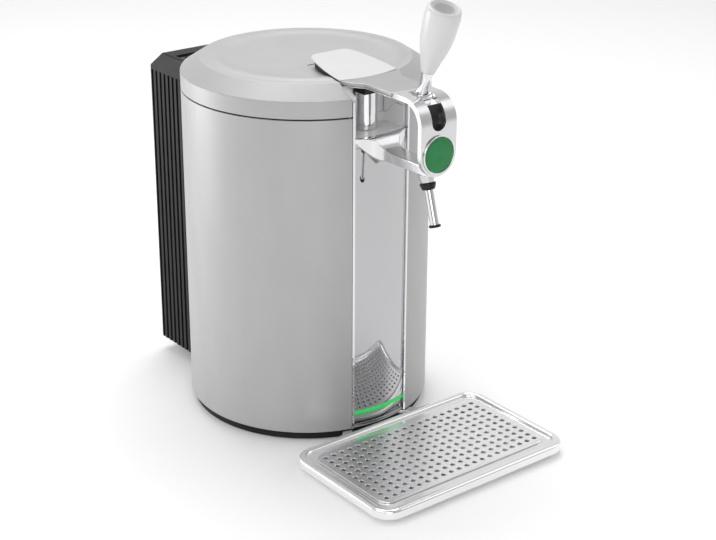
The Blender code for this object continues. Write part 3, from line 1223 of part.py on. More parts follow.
def make_tray():
    add_axis("tray", "body", -TRAY_BACK, 0)
    tray = place("drip_tray", prism(tray_outline(0), TRAY_FOOT_Z, TRAY_TOP_Z), "chrome", "tray")
    bevel(tray, TRAY_EDGE)
    floor = TRAY_FOOT_Z + TRAY_FLOOR
    ledge = TRAY_RIM + TRAY_LEDGE
    cut(tray, prism(tray_outline(TRAY_RIM), TRAY_LEDGE_Z, TRAY_TOP_Z + OVERRUN),
        prism(tray_outline(ledge), floor, TRAY_TOP_Z + OVERRUN))
    add_axis("drip_plate", "tray", -(TRAY_FRONT + TRAY_BACK) / 2, TRAY_LEDGE_Z)
    place("drip_plate", drip_plate(), "steel", "drip_plate", smooth=False)
    pad_y = -TRAY_FRONT + PAD_INSET_Y
    pad_x = TRAY_HALF_WIDTH - PAD_INSET_X
    place("tray_pad", box(-pad_x, pad_x, pad_y - PAD_WIDTH / 2, pad_y + PAD_WIDTH / 2, 0,
                          TRAY_FOOT_Z - GAP), "rubber", "tray")
    make_hooks()


def drip_plate():
    """The perforated plate: a grid of cells, each with a square hole set on its corner."""
    middle_y = -(TRAY_FRONT + TRAY_BACK) / 2
    low = TRAY_LEDGE_Z + GAP
    mesh = bmesh.new()
    outline = plate_rim(DRIP_PLATE_HALF_X, DRIP_PLATE_HALF_Y, middle_y)
    layers = []
    for z in (low, low + DRIP_PLATE_WALL):
        edges = [loop_edges(mesh, [(x, y, z) for x, y in outline])]
        for i in range(HOLE_COLUMNS):
            for j in range(HOLE_ROWS):
                x = (i - (HOLE_COLUMNS - 1) / 2) * HOLE_PITCH_X
                y = middle_y + (j - (HOLE_ROWS - 1) / 2) * HOLE_PITCH_Y
                edges.append(loop_edges(mesh, [(x + a, y + b, z) for a, b in circle(0, 0, HOLE_RADIUS, 4)]))
        flat = [edge for loop in edges for edge in loop]
        bmesh.ops.triangle_fill(mesh, use_beauty=True, use_dissolve=False, edges=flat, normal=(0, 0, 1))
        layers.append(edges)
    for low_loop, high_loop in zip(*layers):
        for one, two in zip(low_loop, high_loop):
            mesh.faces.new((one.verts[0], one.verts[1], two.verts[1], two.verts[0]))
    return mesh


def plate_rim(half_x, half_y, middle_y):
    corner = TRAY_CORNER - TRAY_RIM
    points = []
    for x_side, y_side, start in ((1, 1, 0), (-1, 1, 90), (-1, -1, 180), (1, -1, 270)):
        points += arc(x_side * (half_x - corner), middle_y + y_side * (half_y - corner), corner,
                      start, start + 90, TRAY_CORNER_STEPS // 2)
    return points


def loop_edges(mesh, points):
    verts = [mesh.verts.new(point) for point in points]
    return [mesh.edges.new((verts[i], verts[(i + 1) % len(verts)])) for i in range(len(verts))]


def make_hooks():
    """The two arms that carry the tray on the base."""
    inner = BASE_RADIUS + GAP * 2
    near = HOOK_INNER_X
    far = near + HOOK_WIDTH
    low = FOOT_HEIGHT + HOOK_CLEAR
    back = -TRAY_BACK + GAP
    for name, side in (("tray_hook_left", -1), ("tray_hook_right", 1)):
        outline = [(side * near, -math.sqrt(inner ** 2 - near ** 2)),
                   (side * far, -math.sqrt(inner ** 2 - far ** 2)),
                   (side * (far + HOOK_SPLAY), back), (side * (near + HOOK_SPLAY), back)]
        place(name, prism(outline, low, low + HOOK_THICK), "chrome", "tray")


def main():
    for item in list(bpy.data.objects):
        bpy.data.objects.remove(item, do_unlink=True)
    make_finishes()
    PARENTS["body"] = bpy.data.objects.new("body_axis", None)
    bpy.context.collection.objects.link(PARENTS["body"])
    PARENTS["body"].location = (0, BODY_AXIS_Y, 0)
    for step in (make_base, make_shell, make_front, make_pocket, make_deck, make_well, make_cooler,
                 make_housing, make_electrics, make_hinge, make_lid, make_flap, make_column, make_arms,
                 make_head, make_lever, make_spout, make_valve, make_tray):
        step()
    bpy.context.view_layer.update()


main()
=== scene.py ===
import math

import bmesh
import bpy
import numpy as np
from mathutils import Matrix, Vector


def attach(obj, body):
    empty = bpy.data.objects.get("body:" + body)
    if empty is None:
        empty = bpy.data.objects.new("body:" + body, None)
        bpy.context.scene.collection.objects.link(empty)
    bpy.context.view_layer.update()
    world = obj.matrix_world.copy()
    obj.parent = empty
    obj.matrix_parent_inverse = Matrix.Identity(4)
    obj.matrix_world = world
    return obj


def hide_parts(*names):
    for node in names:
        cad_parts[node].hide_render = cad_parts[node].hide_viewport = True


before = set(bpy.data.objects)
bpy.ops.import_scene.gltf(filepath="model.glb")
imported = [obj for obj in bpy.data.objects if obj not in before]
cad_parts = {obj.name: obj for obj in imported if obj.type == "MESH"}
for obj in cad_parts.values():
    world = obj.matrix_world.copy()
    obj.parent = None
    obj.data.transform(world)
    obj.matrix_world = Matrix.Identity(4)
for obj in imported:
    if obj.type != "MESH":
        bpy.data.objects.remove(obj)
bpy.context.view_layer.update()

# Lengths are in millimetres from the body's axis, and become metres when a mesh is stored.
MM = 0.001
BODY_AXIS_Y = 50.0

BODY_R = 130.0
SKIN = 2.0
SHELL_FOOT = 10.0
SHELL_TOP = 350.2
NOTCH = 36.0
PANEL_HALF = 33.0
PANEL_BACK = 126.5
PANEL_R = 128.0
TRIM_R = 128.4
TRIM_HALF = 35.7
LID_FOOT = 351.8
LID_BAND = 369.0
LID_R = 110.0
LID_EDGE = 109.5
LID_TOP = 382.0
CREST_R = 95.0
CREST_WIDTH = 9.0
POCKET_HALF = 30.0
POCKET_FLOOR = 328.0
PLUG_FOOT = 338.0
PLUG_R = 95.0
PLUG_BITE = 13.5
DECK_R = 97.0
FLAP_HALF = 35.5
FLAP_BACK = -38.0
FLAP_FOOT = 381.6
FLAP_RISE = 9.5
FLAP_THICK = 1.6
FLAP_POINTS = 48
FLAP_AXIS_Y = -43.0
COLUMN_Y = -100.0
COLUMN_R = 11.5
COLUMN_TOP = 366.0
COLLAR_HALF = 14.0
COLLAR_FRONT = -115.8
ARM_TOP = 383.6
HEAD_HALF = 22.0
HEAD_WALL = 5.0
HEAD_BACK = -168.3
HEAD_TURN_Y = -186.0
HEAD_R = 25.5
HEAD_TURN_Z = ARM_TOP - HEAD_R
HEAD_FACE = HEAD_TURN_Y - HEAD_R
BADGE_Z = 329.3
LEVER_Y = -184.0
LEVER_Z = 379.0
LEVER_LEAN = 18.6
CAP_ALONG = 95.5
SPOUT_Y = -192.2
SPOUT_Z = 311.0
SPOUT_LEAN = -16.6
TRAY_HALF = 122.5
TRAY_FRONT = -288.0
TRAY_BACK = -134.5
TRAY_CORNER = 22.0
HOOK_FOOT_Y = -134.2
PLATE_Y = (TRAY_FRONT + TRAY_BACK) / 2
PLATE_BOX = np.array([95.0, 45.4])
PLATE_LEVELS = (11.5, 11.5, 12.7, 13.2, 13.2)
HOLES = (20, 11)
HOLE_PITCH = np.array([10.35, 9.8])
HOUSE_HALF = 75.0
HOUSE_BACK = 188.0
HOUSE_FOOT = 13.5
HOUSE_TOP = 361.0
GROOVES = 9
RIB_PITCH = 8.3
GROOVE_WIDTH = 3.8
GROOVE_FLOOR = 72.0
GROOVE_TOP = 338.0
GAP = 0.3

# The camera as it was fitted to the photo, with the focal length and the photo's width in pixels.
CAMERA_PLACE = (-954.0, -1303.0, 815.8)
CAMERA_TURN = math.radians(-38.151)
CAMERA_RISE = math.radians(22.698)
CAMERA_ROLL = 0.0046
CAMERA_FOCAL = 1605.83
PHOTO_WIDTH = 716.0
SENSOR_WIDTH = 36.0

FLOOR_HALF = 6000.0
FLOOR_Z = -0.2
FLOOR_GLOW = 0.12
SIGHT = (0.57, 0.7255, 0.0)
ROOM_REACH = 0.92
ROOM_NEAR = 0.36
ROOM_FAR = 0.82
ROOM_DIM = -0.15
SHARP_ANGLE = math.radians(38)


# Profiles and outlines

def circle_points(cx, cy, radius, start, end, count):
    """Points on a circle: (cx + radius cos a, cy + radius sin a), with a going from start to end degrees."""
    a = np.radians(np.linspace(start, end, count))
    return np.stack([cx + radius * np.cos(a), cy + radius * np.sin(a)], axis=1)


def bend(a, c, b, t):
    """A quadratic curve from a to b with c as its control point."""
    return (1 - t) ** 2 * a + 2 * t * (1 - t) * c + t ** 2 * b


def eased(points, radius, steps=5, closed=True):
    """A polyline with its corners rounded.

    At each corner the two sides are cut back by the tangent length radius / tan(half the corner's angle), at
    most 0.45 of the shorter side, and a quadratic curve through the corner joins the cuts.
    """
    p = np.asarray(points, float)
    before = np.roll(p, 1, axis=0) - p
    after = np.roll(p, -1, axis=0) - p
    la = np.linalg.norm(before, axis=1)
    lb = np.linalg.norm(after, axis=1)
    ua = before / la[:, None]
    ub = after / lb[:, None]
    half = np.arccos(np.clip((ua * ub).sum(1), -1, 1)) / 2
    sizes = np.broadcast_to(np.asarray(radius, float), half.shape)
    back = np.minimum(sizes / np.maximum(np.tan(half), 1e-6), 0.45 * np.minimum(la, lb))
    t = np.linspace(0, 1, steps)[None, :, None]
    curve = bend((p + ua * back[:, None])[:, None], p[:, None], (p + ub * back[:, None])[:, None], t)
    if closed:
        return curve.reshape(-1, 2)
    return np.concatenate([p[:1], curve[1:-1].reshape(-1, 2), p[-1:]])


def through(points, count):
    """A smooth curve through the points: Catmull-Rom spans, (2p1 + (p2-p0)t + (2p0-5p1+4p2-p3)t2 + ...)/2."""
    p = np.asarray(points, float)
    q = np.concatenate([2 * p[:1] - p[1:2], p, 2 * p[-1:] - p[-2:-1]])
    s = np.linspace(0, len(p) - 1 - 1e-9, count)
    i = s.astype(int)
    t = (s - i)[:, None]
    p0, p1, p2, p3 = q[i], q[i + 1], q[i + 2], q[i + 3]
    return 0.5 * (2 * p1 + (p2 - p0) * t + (2 * p0 - 5 * p1 + 4 * p2 - p3) * t ** 2
                  + (3 * p1 - p0 - 3 * p2 + p3) * t ** 3)


def inset(outline, depth):
    """An outline moved inwards: each point goes along the mean of its two sides' inward normals."""
    p = np.asarray(outline, float)
    side = np.roll(p, -1, axis=0) - p
    normal = np.stack([-side[:, 1], side[:, 0]], axis=1)
    normal /= np.linalg.norm(normal, axis=1)[:, None]
    area = (p[:, 0] * np.roll(p[:, 1], -1) - p[:, 1] * np.roll(p[:, 0], -1)).sum()
    normal *= np.sign(area)
    mean = normal + np.roll(normal, 1, axis=0)
    mean /= np.maximum((mean * normal).sum(1), 0.3)[:, None]
    return p + mean * depth


def superellipse(half_x, half_y, power, columns):
    """Rings of |x / half_x|^power + |y / half_y|^power = 1, one for each row of the values given."""
    angle = np.linspace(0, 2 * np.pi, columns, endpoint=False)[None, :]
    c, s = np.cos(angle), np.sin(angle)
    return (half_x * np.sign(c) * np.abs(c) ** (2.0 / power),
            half_y * np.sign(s) * np.abs(s) ** (2.0 / power))


# Meshes

def make_mesh(name, points, faces):
    """Stores points in millimetres from the body's axis as a mesh in metres."""
    p = np.array(points, float).reshape(-1, 3)
    p[:, 1] += BODY_AXIS_Y
    mesh = bpy.data.meshes.new(name)
    mesh.from_pydata((p * MM).tolist(), [], faces)
    item = bpy.data.objects.new(name, mesh)
    bpy.context.scene.collection.objects.link(item)
    return item


def tidy(item, merge=0.00001):
    """Merges doubled points at seams and poles and turns the faces outwards."""
    bm = bmesh.new()
    bm.from_mesh(item.data)
    bmesh.ops.remove_doubles(bm, verts=bm.verts, dist=merge)
    bmesh.ops.recalc_face_normals(bm, faces=bm.faces)
    if bm.calc_volume(signed=True) < 0:
        bmesh.ops.reverse_faces(bm, faces=bm.faces)
    bm.to_mesh(item.data)
    bm.free()
    return item


def grid_faces(rows, columns, wrap_rows=False):
    """Quads of a grid of points stored row by row, whose last column joins its first."""
    r = np.arange(rows if wrap_rows else rows - 1)[:, None]
    c = np.arange(columns)[None, :]
    r2, c2 = (r + 1) % rows, (c + 1) % columns
    corners = (r * columns + c, r * columns + c2, r2 * columns + c2, r2 * columns + c)
    return np.stack(np.broadcast_arrays(*corners), axis=-1).reshape(-1, 4)


def skin(name, points, wrap_rows=False):
    """A surface through rings of points (rows, columns, 3), its two ends closed flat unless the rows wrap."""
    rows, columns = points.shape[:2]
    faces = grid_faces(rows, columns, wrap_rows).tolist()
    if not wrap_rows:
        faces += [list(range(columns)), list(range((rows - 1) * columns, rows * columns))]
    return tidy(make_mesh(name, points, faces))


def lathe(name, profile, facets, y=0.0, lean=None):
    """A closed profile of (radius, z) turned about a vertical line: (r cos a, y + r sin a, z).

    With lean = (y, z, degrees) the profile's z runs along a line through that point, tipped to the front.
    """
    p = np.asarray(profile, float)
    a = np.linspace(0, 2 * np.pi, facets, endpoint=False)
    points = np.stack([p[:, :1] * np.cos(a), p[:, :1] * np.sin(a) + y,
                       np.repeat(p[:, 1:], facets, axis=1)], axis=-1)
    if lean:
        points = tipped(points, *lean)
    return skin(name, points, wrap_rows=True)


def drum(name, radius, low, high, facets, y=0.0):
    return lathe(name, [(0, low), (radius, low), (radius, high), (0, high)], facets, y)


def tipped(points, y, z, degrees):
    """Turns points about the x direction: y' = y0 + y cos t - z sin t, z' = z0 + y sin t + z cos t."""
    c, s = math.cos(math.radians(degrees)), math.sin(math.radians(degrees))
    out = np.array(points, float)
    py, pz = out[..., 1].copy(), out[..., 2].copy()
    out[..., 1] = y + py * c - pz * s
    out[..., 2] = z + py * s + pz * c
    return out


def slab(name, outline, low, high, edge=0.4, steps=3, along="Z", shape=None):
    """An outline given thickness, with rounded edges.

    Ring k of the rounding is inset by edge (1 - sin t) at edge (1 - cos t) from the face, with t from 0 to
    90 degrees. The outline is (x, y) along Z, (x, z) along Y, or (y, z) along X. shape moves the points last.
    """
    t = np.linspace(0, np.pi / 2, steps + 1)
    insets = np.concatenate([edge * (1 - np.sin(t)), edge * (1 - np.sin(t[::-1]))])
    heights = np.concatenate([low + edge * (1 - np.cos(t)), high - edge * (1 - np.cos(t[::-1]))])
    rings = np.stack([inset(outline, d) for d in insets])
    level = np.repeat(heights[:, None], rings.shape[1], axis=1)
    a, b = rings[..., 0], rings[..., 1]
    points = np.stack({"Z": (a, b, level), "Y": (a, level, b), "X": (level, a, b)}[along], axis=-1)
    if shape is not None:
        points = shape(points)
    return skin(name, points)


def prism(name, outline, low, high, along="Z"):
    """An outline given thickness, with sharp edges."""
    return slab(name, outline, low, high, 0.0, 1, along)


def block(name, x0, x1, y0, y1, z0, z1):
    return prism(name, [(x0, y0), (x1, y0), (x1, y1), (x0, y1)], z0, z1)


def strip_outline(x0, x1, r_in, r_out, count=24):
    """A curved strip of the body's front in plan, between two x places and two radii."""
    x = np.linspace(x0, x1, count)
    outer = np.stack([x, -np.sqrt(r_out ** 2 - x ** 2)], axis=1)
    inner = np.stack([x, -np.sqrt(r_in ** 2 - x ** 2)], axis=1)[::-1]
    return np.concatenate([outer, inner])


# Modifiers, applied at once so that every piece is plain mesh

def bake(item):
    depsgraph = bpy.context.evaluated_depsgraph_get()
    data = bpy.data.meshes.new_from_object(item.evaluated_get(depsgraph), depsgraph=depsgraph)
    item.modifiers.clear()
    item.data = data
    return item


def combine(item, operation, tools):
    for tool in tools:
        step = item.modifiers.new("shape", "BOOLEAN")
        step.operation = operation
        step.object = tool
        step.solver = "EXACT"
    bake(item)
    for tool in tools:
        bpy.data.objects.remove(tool, do_unlink=True)
    return item


def cut(item, *tools):
    return combine(item, "DIFFERENCE", tools)


def keep(item, *tools):
    return combine(item, "INTERSECT", tools)


def fuse(item, *tools):
    return combine(item, "UNION", tools)


def rounded(item, width, segments=3, angle=32):
    step = item.modifiers.new("edges", "BEVEL")
    step.width = width * MM
    step.segments = segments
    step.limit_method = "ANGLE"
    step.angle_limit = math.radians(angle)
    step.use_clamp_overlap = True
    return bake(item)


def finish_piece(item, material, body, *nodes, weigh=True):
    """Smooth shading, weighted normals, the material, the body it rides on and the nodes it stands for."""
    data = item.data
    data.shade_smooth()
    data.set_sharp_from_angle(angle=SHARP_ANGLE)
    if weigh:
        step = item.modifiers.new("normals", "WEIGHTED_NORMAL")
        step.keep_sharp = True
        bake(item)
    item.data.materials.clear()
    item.data.materials.append(material)
    item.data.name = item.name
    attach(item, body)
    if nodes:
        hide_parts(*nodes)
    return item


# Materials

def surface(name, colour, roughness, metallic=0.0, **sockets):
    """A Principled material with its plain values on the shader's own sockets."""
    material = bpy.data.materials.new(name)
    material.use_nodes = True
    shader = material.node_tree.nodes["Principled BSDF"]
    shader.inputs["Base Color"].default_value = (*colour, 1.0)
    shader.inputs["Roughness"].default_value = roughness
    shader.inputs["Metallic"].default_value = metallic
    for key, value in sockets.items():
        shader.inputs[key.replace("_", " ")].default_value = value
    return material


def nodes_of(material):
    tree = material.node_tree
    return tree, tree.nodes["Principled BSDF"]


def coordinates(material, scale):
    """Object coordinates, scaled by an amount per metre along each axis."""
    tree, _ = nodes_of(material)
    where = tree.nodes.new("ShaderNodeTexCoord")
    mapping = tree.nodes.new("ShaderNodeMapping")
    mapping.inputs["Scale"].default_value = scale
    tree.links.new(where.outputs["Object"], mapping.inputs["Vector"])
    return mapping.outputs["Vector"]


def noise(material, scale, detail):
    tree, _ = nodes_of(material)
    texture = tree.nodes.new("ShaderNodeTexNoise")
    texture.inputs["Scale"].default_value = 1.0
    texture.inputs["Detail"].default_value = detail
    texture.inputs["Roughness"].default_value = 0.5
    tree.links.new(coordinates(material, scale), texture.inputs["Vector"])
    return texture.outputs["Fac"]


def ranged(material, value, low, high):
    """The noise value from 0.3 to 0.7 spread over low to high."""
    tree, _ = nodes_of(material)
    spread = tree.nodes.new("ShaderNodeMapRange")
    spread.inputs["From Min"].default_value = 0.3
    spread.inputs["From Max"].default_value = 0.7
    spread.inputs["To Min"].default_value = low
    spread.inputs["To Max"].default_value = high
    tree.links.new(value, spread.inputs["Value"])
    return spread.outputs["Result"]


def vary_roughness(material, scale, low, high, detail=3.0):
    tree, shader = nodes_of(material)
    tree.links.new(ranged(material, noise(material, scale, detail), low, high), shader.inputs["Roughness"])
    return material


def mix_colours(material, factor, first, second):
    """Takes the base colour from first to second as the factor goes from 0 to 1."""
    tree, shader = nodes_of(material)
    mix = tree.nodes.new("ShaderNodeMix")
    mix.data_type = "RGBA"
    mix.inputs["A"].default_value = (*first, 1.0)
    mix.inputs["B"].default_value = (*second, 1.0)
    tree.links.new(factor, mix.inputs["Factor"])
    tree.links.new(mix.outputs["Result"], shader.inputs["Base Color"])
    return material


def vary_colour(material, scale, first, second, detail=3.0):
    return mix_colours(material, ranged(material, noise(material, scale, detail), 0.0, 1.0), first, second)


def fade_colour(material, middle, near, far, first, second):
    """Mixes two colours by the distance from a point of the piece, smoothly between near and far metres."""
    tree, _ = nodes_of(material)
    where = tree.nodes.new("ShaderNodeTexCoord")
    reach = tree.nodes.new("ShaderNodeVectorMath")
    reach.operation = "DISTANCE"
    reach.inputs[1].default_value = middle
    spread = tree.nodes.new("ShaderNodeMapRange")
    spread.interpolation_type = "SMOOTHSTEP"
    spread.inputs["From Min"].default_value = near
    spread.inputs["From Max"].default_value = far
    tree.links.new(where.outputs["Object"], reach.inputs[0])
    tree.links.new(reach.outputs["Value"], spread.inputs["Value"])
    return mix_colours(material, spread.outputs["Result"], first, second)


def grain(material, scale, strength, distance, detail=2.0):
    """Bump from noise, with its height in metres."""
    tree, shader = nodes_of(material)
    bump = tree.nodes.new("ShaderNodeBump")
    bump.inputs["Strength"].default_value = strength
    bump.inputs["Distance"].default_value = distance
    tree.links.new(noise(material, scale, detail), bump.inputs["Height"])
    tree.links.new(bump.outputs["Normal"], shader.inputs["Normal"])
    return material


# The middle of the handle's cap in the world, round which the handle's colour is darker.
CAP_MIDDLE = (0.0, (LEVER_Y - CAP_ALONG * math.sin(math.radians(LEVER_LEAN)) + BODY_AXIS_Y) * MM,
              (LEVER_Z + CAP_ALONG * math.cos(math.radians(LEVER_LEAN))) * MM)


def tone(level):
    """A grey with a trace of blue."""
    return (level, level, level + 0.005)


def make_materials():
    m = {}
    body = surface("body_silver", tone(0.46), 0.42, 0.45)
    vary_colour(body, (40, 40, 14), tone(0.45), tone(0.47))
    vary_roughness(body, (900, 900, 900), 0.39, 0.45, 2.0)
    m["body"] = grain(body, (2600, 2600, 2600), 0.10, 0.00004)
    lid = surface("lid_satin", tone(0.47), 0.45, 0.35)
    vary_colour(lid, (30, 30, 30), tone(0.46), tone(0.48))
    m["lid"] = grain(lid, (2600, 2600, 2600), 0.12, 0.00004)
    arm = surface("arm_silver", tone(0.43), 0.36, 0.6)
    vary_colour(arm, (60, 60, 60), tone(0.42), tone(0.44))
    m["arm"] = grain(arm, (2600, 2600, 2600), 0.10, 0.00004)
    pearl = surface("flap_pearl", (0.72, 0.72, 0.715), 0.30, 0.1, Coat_Weight=0.25, Coat_Roughness=0.15)
    m["pearl"] = vary_colour(pearl, (50, 50, 50), (0.71, 0.71, 0.705), (0.73, 0.73, 0.725))
    mirror = surface("panel_mirror", (0.51, 0.51, 0.52), 0.05, 1.0)
    m["mirror"] = vary_roughness(mirror, (18, 18, 18), 0.035, 0.065)
    chrome = surface("bright_chrome", (0.80, 0.80, 0.81), 0.06, 1.0)
    m["chrome"] = vary_roughness(chrome, (60, 60, 60), 0.04, 0.08)
    head = surface("head_chrome", (0.74, 0.74, 0.75), 0.20, 1.0)
    m["head"] = vary_roughness(head, (60, 60, 60), 0.17, 0.24)
    satin = surface("satin_chrome", (0.62, 0.62, 0.63), 0.26, 1.0)
    m["satin"] = vary_roughness(satin, (1200, 1200, 60), 0.22, 0.32)
    steel = surface("drip_steel", tone(0.82), 0.32, 1.0)
    m["steel"] = vary_roughness(steel, (30, 1400, 1400), 0.26, 0.40)
    tray = surface("tray_chrome", tone(0.93), 0.14, 0.8)
    m["tray"] = vary_roughness(tray, (40, 40, 40), 0.13, 0.20)
    black = surface("housing_black", (0.013, 0.013, 0.014), 0.50, 0.0, Specular_IOR_Level=0.2)
    vary_colour(black, (50, 50, 50), (0.010, 0.010, 0.011), (0.016, 0.016, 0.017))
    m["black"] = grain(black, (2200, 2200, 2200), 0.25, 0.00006)
    dark = surface("inner_dark", tone(0.05), 0.55)
    vary_colour(dark, (60, 60, 60), tone(0.045), tone(0.06))
    m["dark"] = grain(dark, (2000, 2000, 2000), 0.25, 0.00006)
    gloss = surface("trim_black", (0.008, 0.008, 0.009), 0.35, 0.0, Specular_IOR_Level=0.3)
    m["gloss"] = vary_roughness(gloss, (80, 80, 80), 0.30, 0.40)
    # Painted light: this grey is much paler than the silver shell, so the pocket, the lid's underside and the
    # liner look bright inside their shade.
    grey = surface("pocket_grey_painted_light", tone(0.86), 0.36, 0.1)
    vary_colour(grey, (40, 40, 40), tone(0.85), tone(0.87))
    m["grey"] = grain(grey, (2200, 2200, 2200), 0.15, 0.00005)
    handle = surface("handle_frost", tone(0.70), 0.34, 0.0, Coat_Weight=0.25, Coat_Roughness=0.2)
    m["handle"] = vary_roughness(handle, (120, 120, 120), 0.30, 0.40)
    cap = surface("handle_cap_grey", tone(0.42), 0.38, 0.0)
    for plastic in (cap, handle):
        fade_colour(plastic, CAP_MIDDLE, 0.007, 0.0160, tone(0.30), tone(0.70))
    m["cap"] = vary_roughness(cap, (160, 160, 160), 0.3, 0.42)
    badge = surface("badge_green", (0.012, 0.21, 0.055), 0.34, 0.0, Specular_IOR_Level=0.4)
    m["badge"] = vary_colour(badge, (90, 90, 90), (0.010, 0.20, 0.05), (0.016, 0.23, 0.065))
    led = surface("led_green", (0.02, 0.38, 0.08), 0.3, 0.0, Emission_Color=(0.02, 0.75, 0.12, 1.0),
                  Emission_Strength=0.45)
    m["led"] = vary_roughness(led, (200, 200, 200), 0.25, 0.35)
    rubber = surface("rubber_black", (0.025, 0.025, 0.025), 0.75)
    m["rubber"] = grain(rubber, (1500, 1500, 1500), 0.4, 0.00008)
    well = surface("well_aluminium", (0.72, 0.73, 0.74), 0.3, 1.0)
    m["well"] = vary_roughness(well, (20, 20, 900), 0.24, 0.42)
    foam = surface("white_foam", (0.80, 0.80, 0.78), 0.9)
    m["foam"] = grain(foam, (500, 500, 500), 0.5, 0.0003)
    ceramic = surface("ceramic_white", (0.82, 0.81, 0.78), 0.55)
    m["ceramic"] = vary_roughness(ceramic, (300, 300, 300), 0.5, 0.62)
    board = surface("board_green", (0.02, 0.16, 0.06), 0.4)
    m["board"] = vary_colour(board, (400, 400, 400), (0.016, 0.14, 0.05), (0.03, 0.19, 0.075))
    return m


M = make_materials()

CAD_FINISHES = {
    "black": ("fan_frame", "flap_post", "rear_grille"),
    "rubber": ("foot_ring", "lid_seal", "tray_pad"),
    "dark": ("top_deck", "fan_rotor", "power_inlet", "switch_case", "hinge_bracket", "hinge_leaf"),
    "foam": ("insulation", "lid_foam"),
    "well": ("cold_plate", "heat_sink"),
    "ceramic": ("peltier_module",),
    "board": ("power_board",),
    "gloss": ("rocker_switch",),
    "grey": ("lid_liner",),
    "steel": ("hinge_pin", "flap_pin", "lever_pin", "valve_rod"),
}


def dress_nodes():
    """Gives their materials to the nodes that are shown as they are."""
    for finish, names in CAD_FINISHES.items():
        for name in names:
            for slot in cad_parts[name].material_slots:
                slot.material = M[finish]


# Body

def make_shell():
    """The silver barrel, cut open for the front and for the heat sink, and the black skirt below it."""
    profile = eased([(BODY_R - SKIN, SHELL_FOOT), (BODY_R, SHELL_FOOT), (BODY_R, SHELL_TOP),
                     (BODY_R - SKIN, SHELL_TOP)], 0.7)
    shell = lathe("body_shell", profile, 256)
    front = block("tool", -NOTCH, NOTCH, -145, -95, 0, 400)
    sink = block("tool", -53.3, 53.3, 95, 145, 106.7, 253.3)
    cut(shell, front, sink)
    finish_piece(shell, M["body"], "case", "outer_shell")
    skirt = eased([(122, 4), (122, 1.2), (126.4, 1.2), (126.4, 10.3), (127.7, 10.3), (127.7, 24), (124.7, 24),
                   (124.7, 13.3), (121, 13.3), (121, 8)], 0.6)
    pan = lathe("base_skirt", np.concatenate([[(0, 4)], skirt, [(0, 8)]]), 200)
    cut(pan, prism("tool", strip_outline(-NOTCH - GAP, NOTCH + GAP, 124.3, 140), 9.4, 60),
        prism("tool", strip_outline(-46, 46, 124.0, 140), -5, 10.0))
    finish_piece(pan, M["black"], "case", "base_pan")


def make_front():
    """The strips between the trims, from the foot up, and the two upright trims beside them."""
    for name, radius, low, high, edge, material, node in (
            ("trim_foot", TRIM_R, 10.0, 13.7, 0.3, "chrome", "base_trim"),
            ("kick_plate", PANEL_R, 14.0, 24.5, 0.2, "mirror", "kick_panel"),
            ("light_bar", TRIM_R, 24.8, 29.0, 0.5, "led", "led_strip"),
            ("mirror_panel", PANEL_R, 29.3, 318.0, 0.2, "mirror", "front_panel"),
            ("panel_saddle", PANEL_R, 318.1, 328.0, 0.3, "mirror", "panel_cap")):
        outline = strip_outline(-PANEL_HALF, PANEL_HALF, PANEL_BACK, radius, 40)
        finish_piece(slab(name, outline, low, high, edge), M[material], "case", node)
    for name, x0, x1, node in (("trim_left", -TRIM_HALF, -PANEL_HALF - GAP, "panel_trim_left"),
                               ("trim_right", PANEL_HALF + GAP, TRIM_HALF, "panel_trim_right")):
        outline = strip_outline(x0, x1, 126.8, 130.3, 40)
        finish_piece(slab(name, outline, 10, 367, 0.6), M["chrome"], "case", node)


def wedge_above():
    """What lies above the slanting seam of the pocket's sides, seen from the side, across the whole width."""
    low, high = PLUG_FOOT - GAP, SHELL_TOP + 0.5
    side = [(-95.5, low), (-108.5, high), (-108.5, 420), (-44, 420), (-44, low)]
    return prism("tool", side, -140, 140, "X")


def make_pocket():
    """The pocket's wall with a niche behind the column, its pale floor and its two walls above the seam."""
    liner = lathe("pocket_wall", [(90, 325.6), (126, 325.6), (126, 350.7), (90, 350.7)], 200)
    keep(liner, block("tool", -TRIM_HALF, TRIM_HALF, -130, -44, 300, 400))
    room = prism("tool", strip_outline(-POCKET_HALF, POCKET_HALF, 95, 140, 60), POCKET_FLOOR, 400)
    cut(liner, room, wedge_above(), drum("tool", 93.4, 300, 334.7, 200))
    niche = circle_points(0, COLUMN_Y, 13.6, 27, 153, 40)
    fuse(liner, prism("tool", niche, POCKET_FLOOR + GAP, PLUG_FOOT - GAP))
    cut(liner, drum("tool", 12.0, 328.15, 400, 64, COLUMN_Y))
    # The pocket's grey pieces carry painted light: their pale grey makes up for the shade inside the recess.
    finish_piece(rounded(liner, 0.35, 2), M["grey"], "case", "pocket_liner")
    plan = strip_outline(-29.7, 29.7, 95.3, 125.6, 40)
    base = prism("pocket_floor", plan, POCKET_FLOOR + 0.05, POCKET_FLOOR + 0.25)
    cut(base, drum("tool", 13.8, 300, 340, 64, COLUMN_Y))
    finish_piece(base, M["grey"], "case")
    side = [(-95.5, 338.3), (-108.5, 351.3), (-130, 351.3), (-130, 370.4), (-121.6, 370.4), (-108.9, 378.0),
            (-106.9, 378.0), (-106.9, 376.3), (-88, 376.3), (-88, 338.3)]
    for name, x0, x1, node in (("cheek_left", -TRIM_HALF, -POCKET_HALF, "pocket_cheek_left"),
                               ("cheek_right", POCKET_HALF, TRIM_HALF, "pocket_cheek_right")):
        cheek = prism(name, side, x0, x1, "X")
        keep(cheek, drum("tool", PANEL_BACK, 300, 400, 200))
        cut(cheek, drum("tool", 96.5, 300, 400, 200))
        finish_piece(rounded(cheek, 0.35, 2), M["grey"], "case", node)


def make_well():
    profile = eased([(89, 58), (89, 326.6), (93, 326.6), (93, 327.6), (88, 327.6), (88, 59)], 0.5)
    profile = np.concatenate([[(0, 58)], profile, [(0, 59)]])
    finish_piece(lathe("keg_liner", profile, 160), M["well"], "case", "keg_well")


# Cooling unit

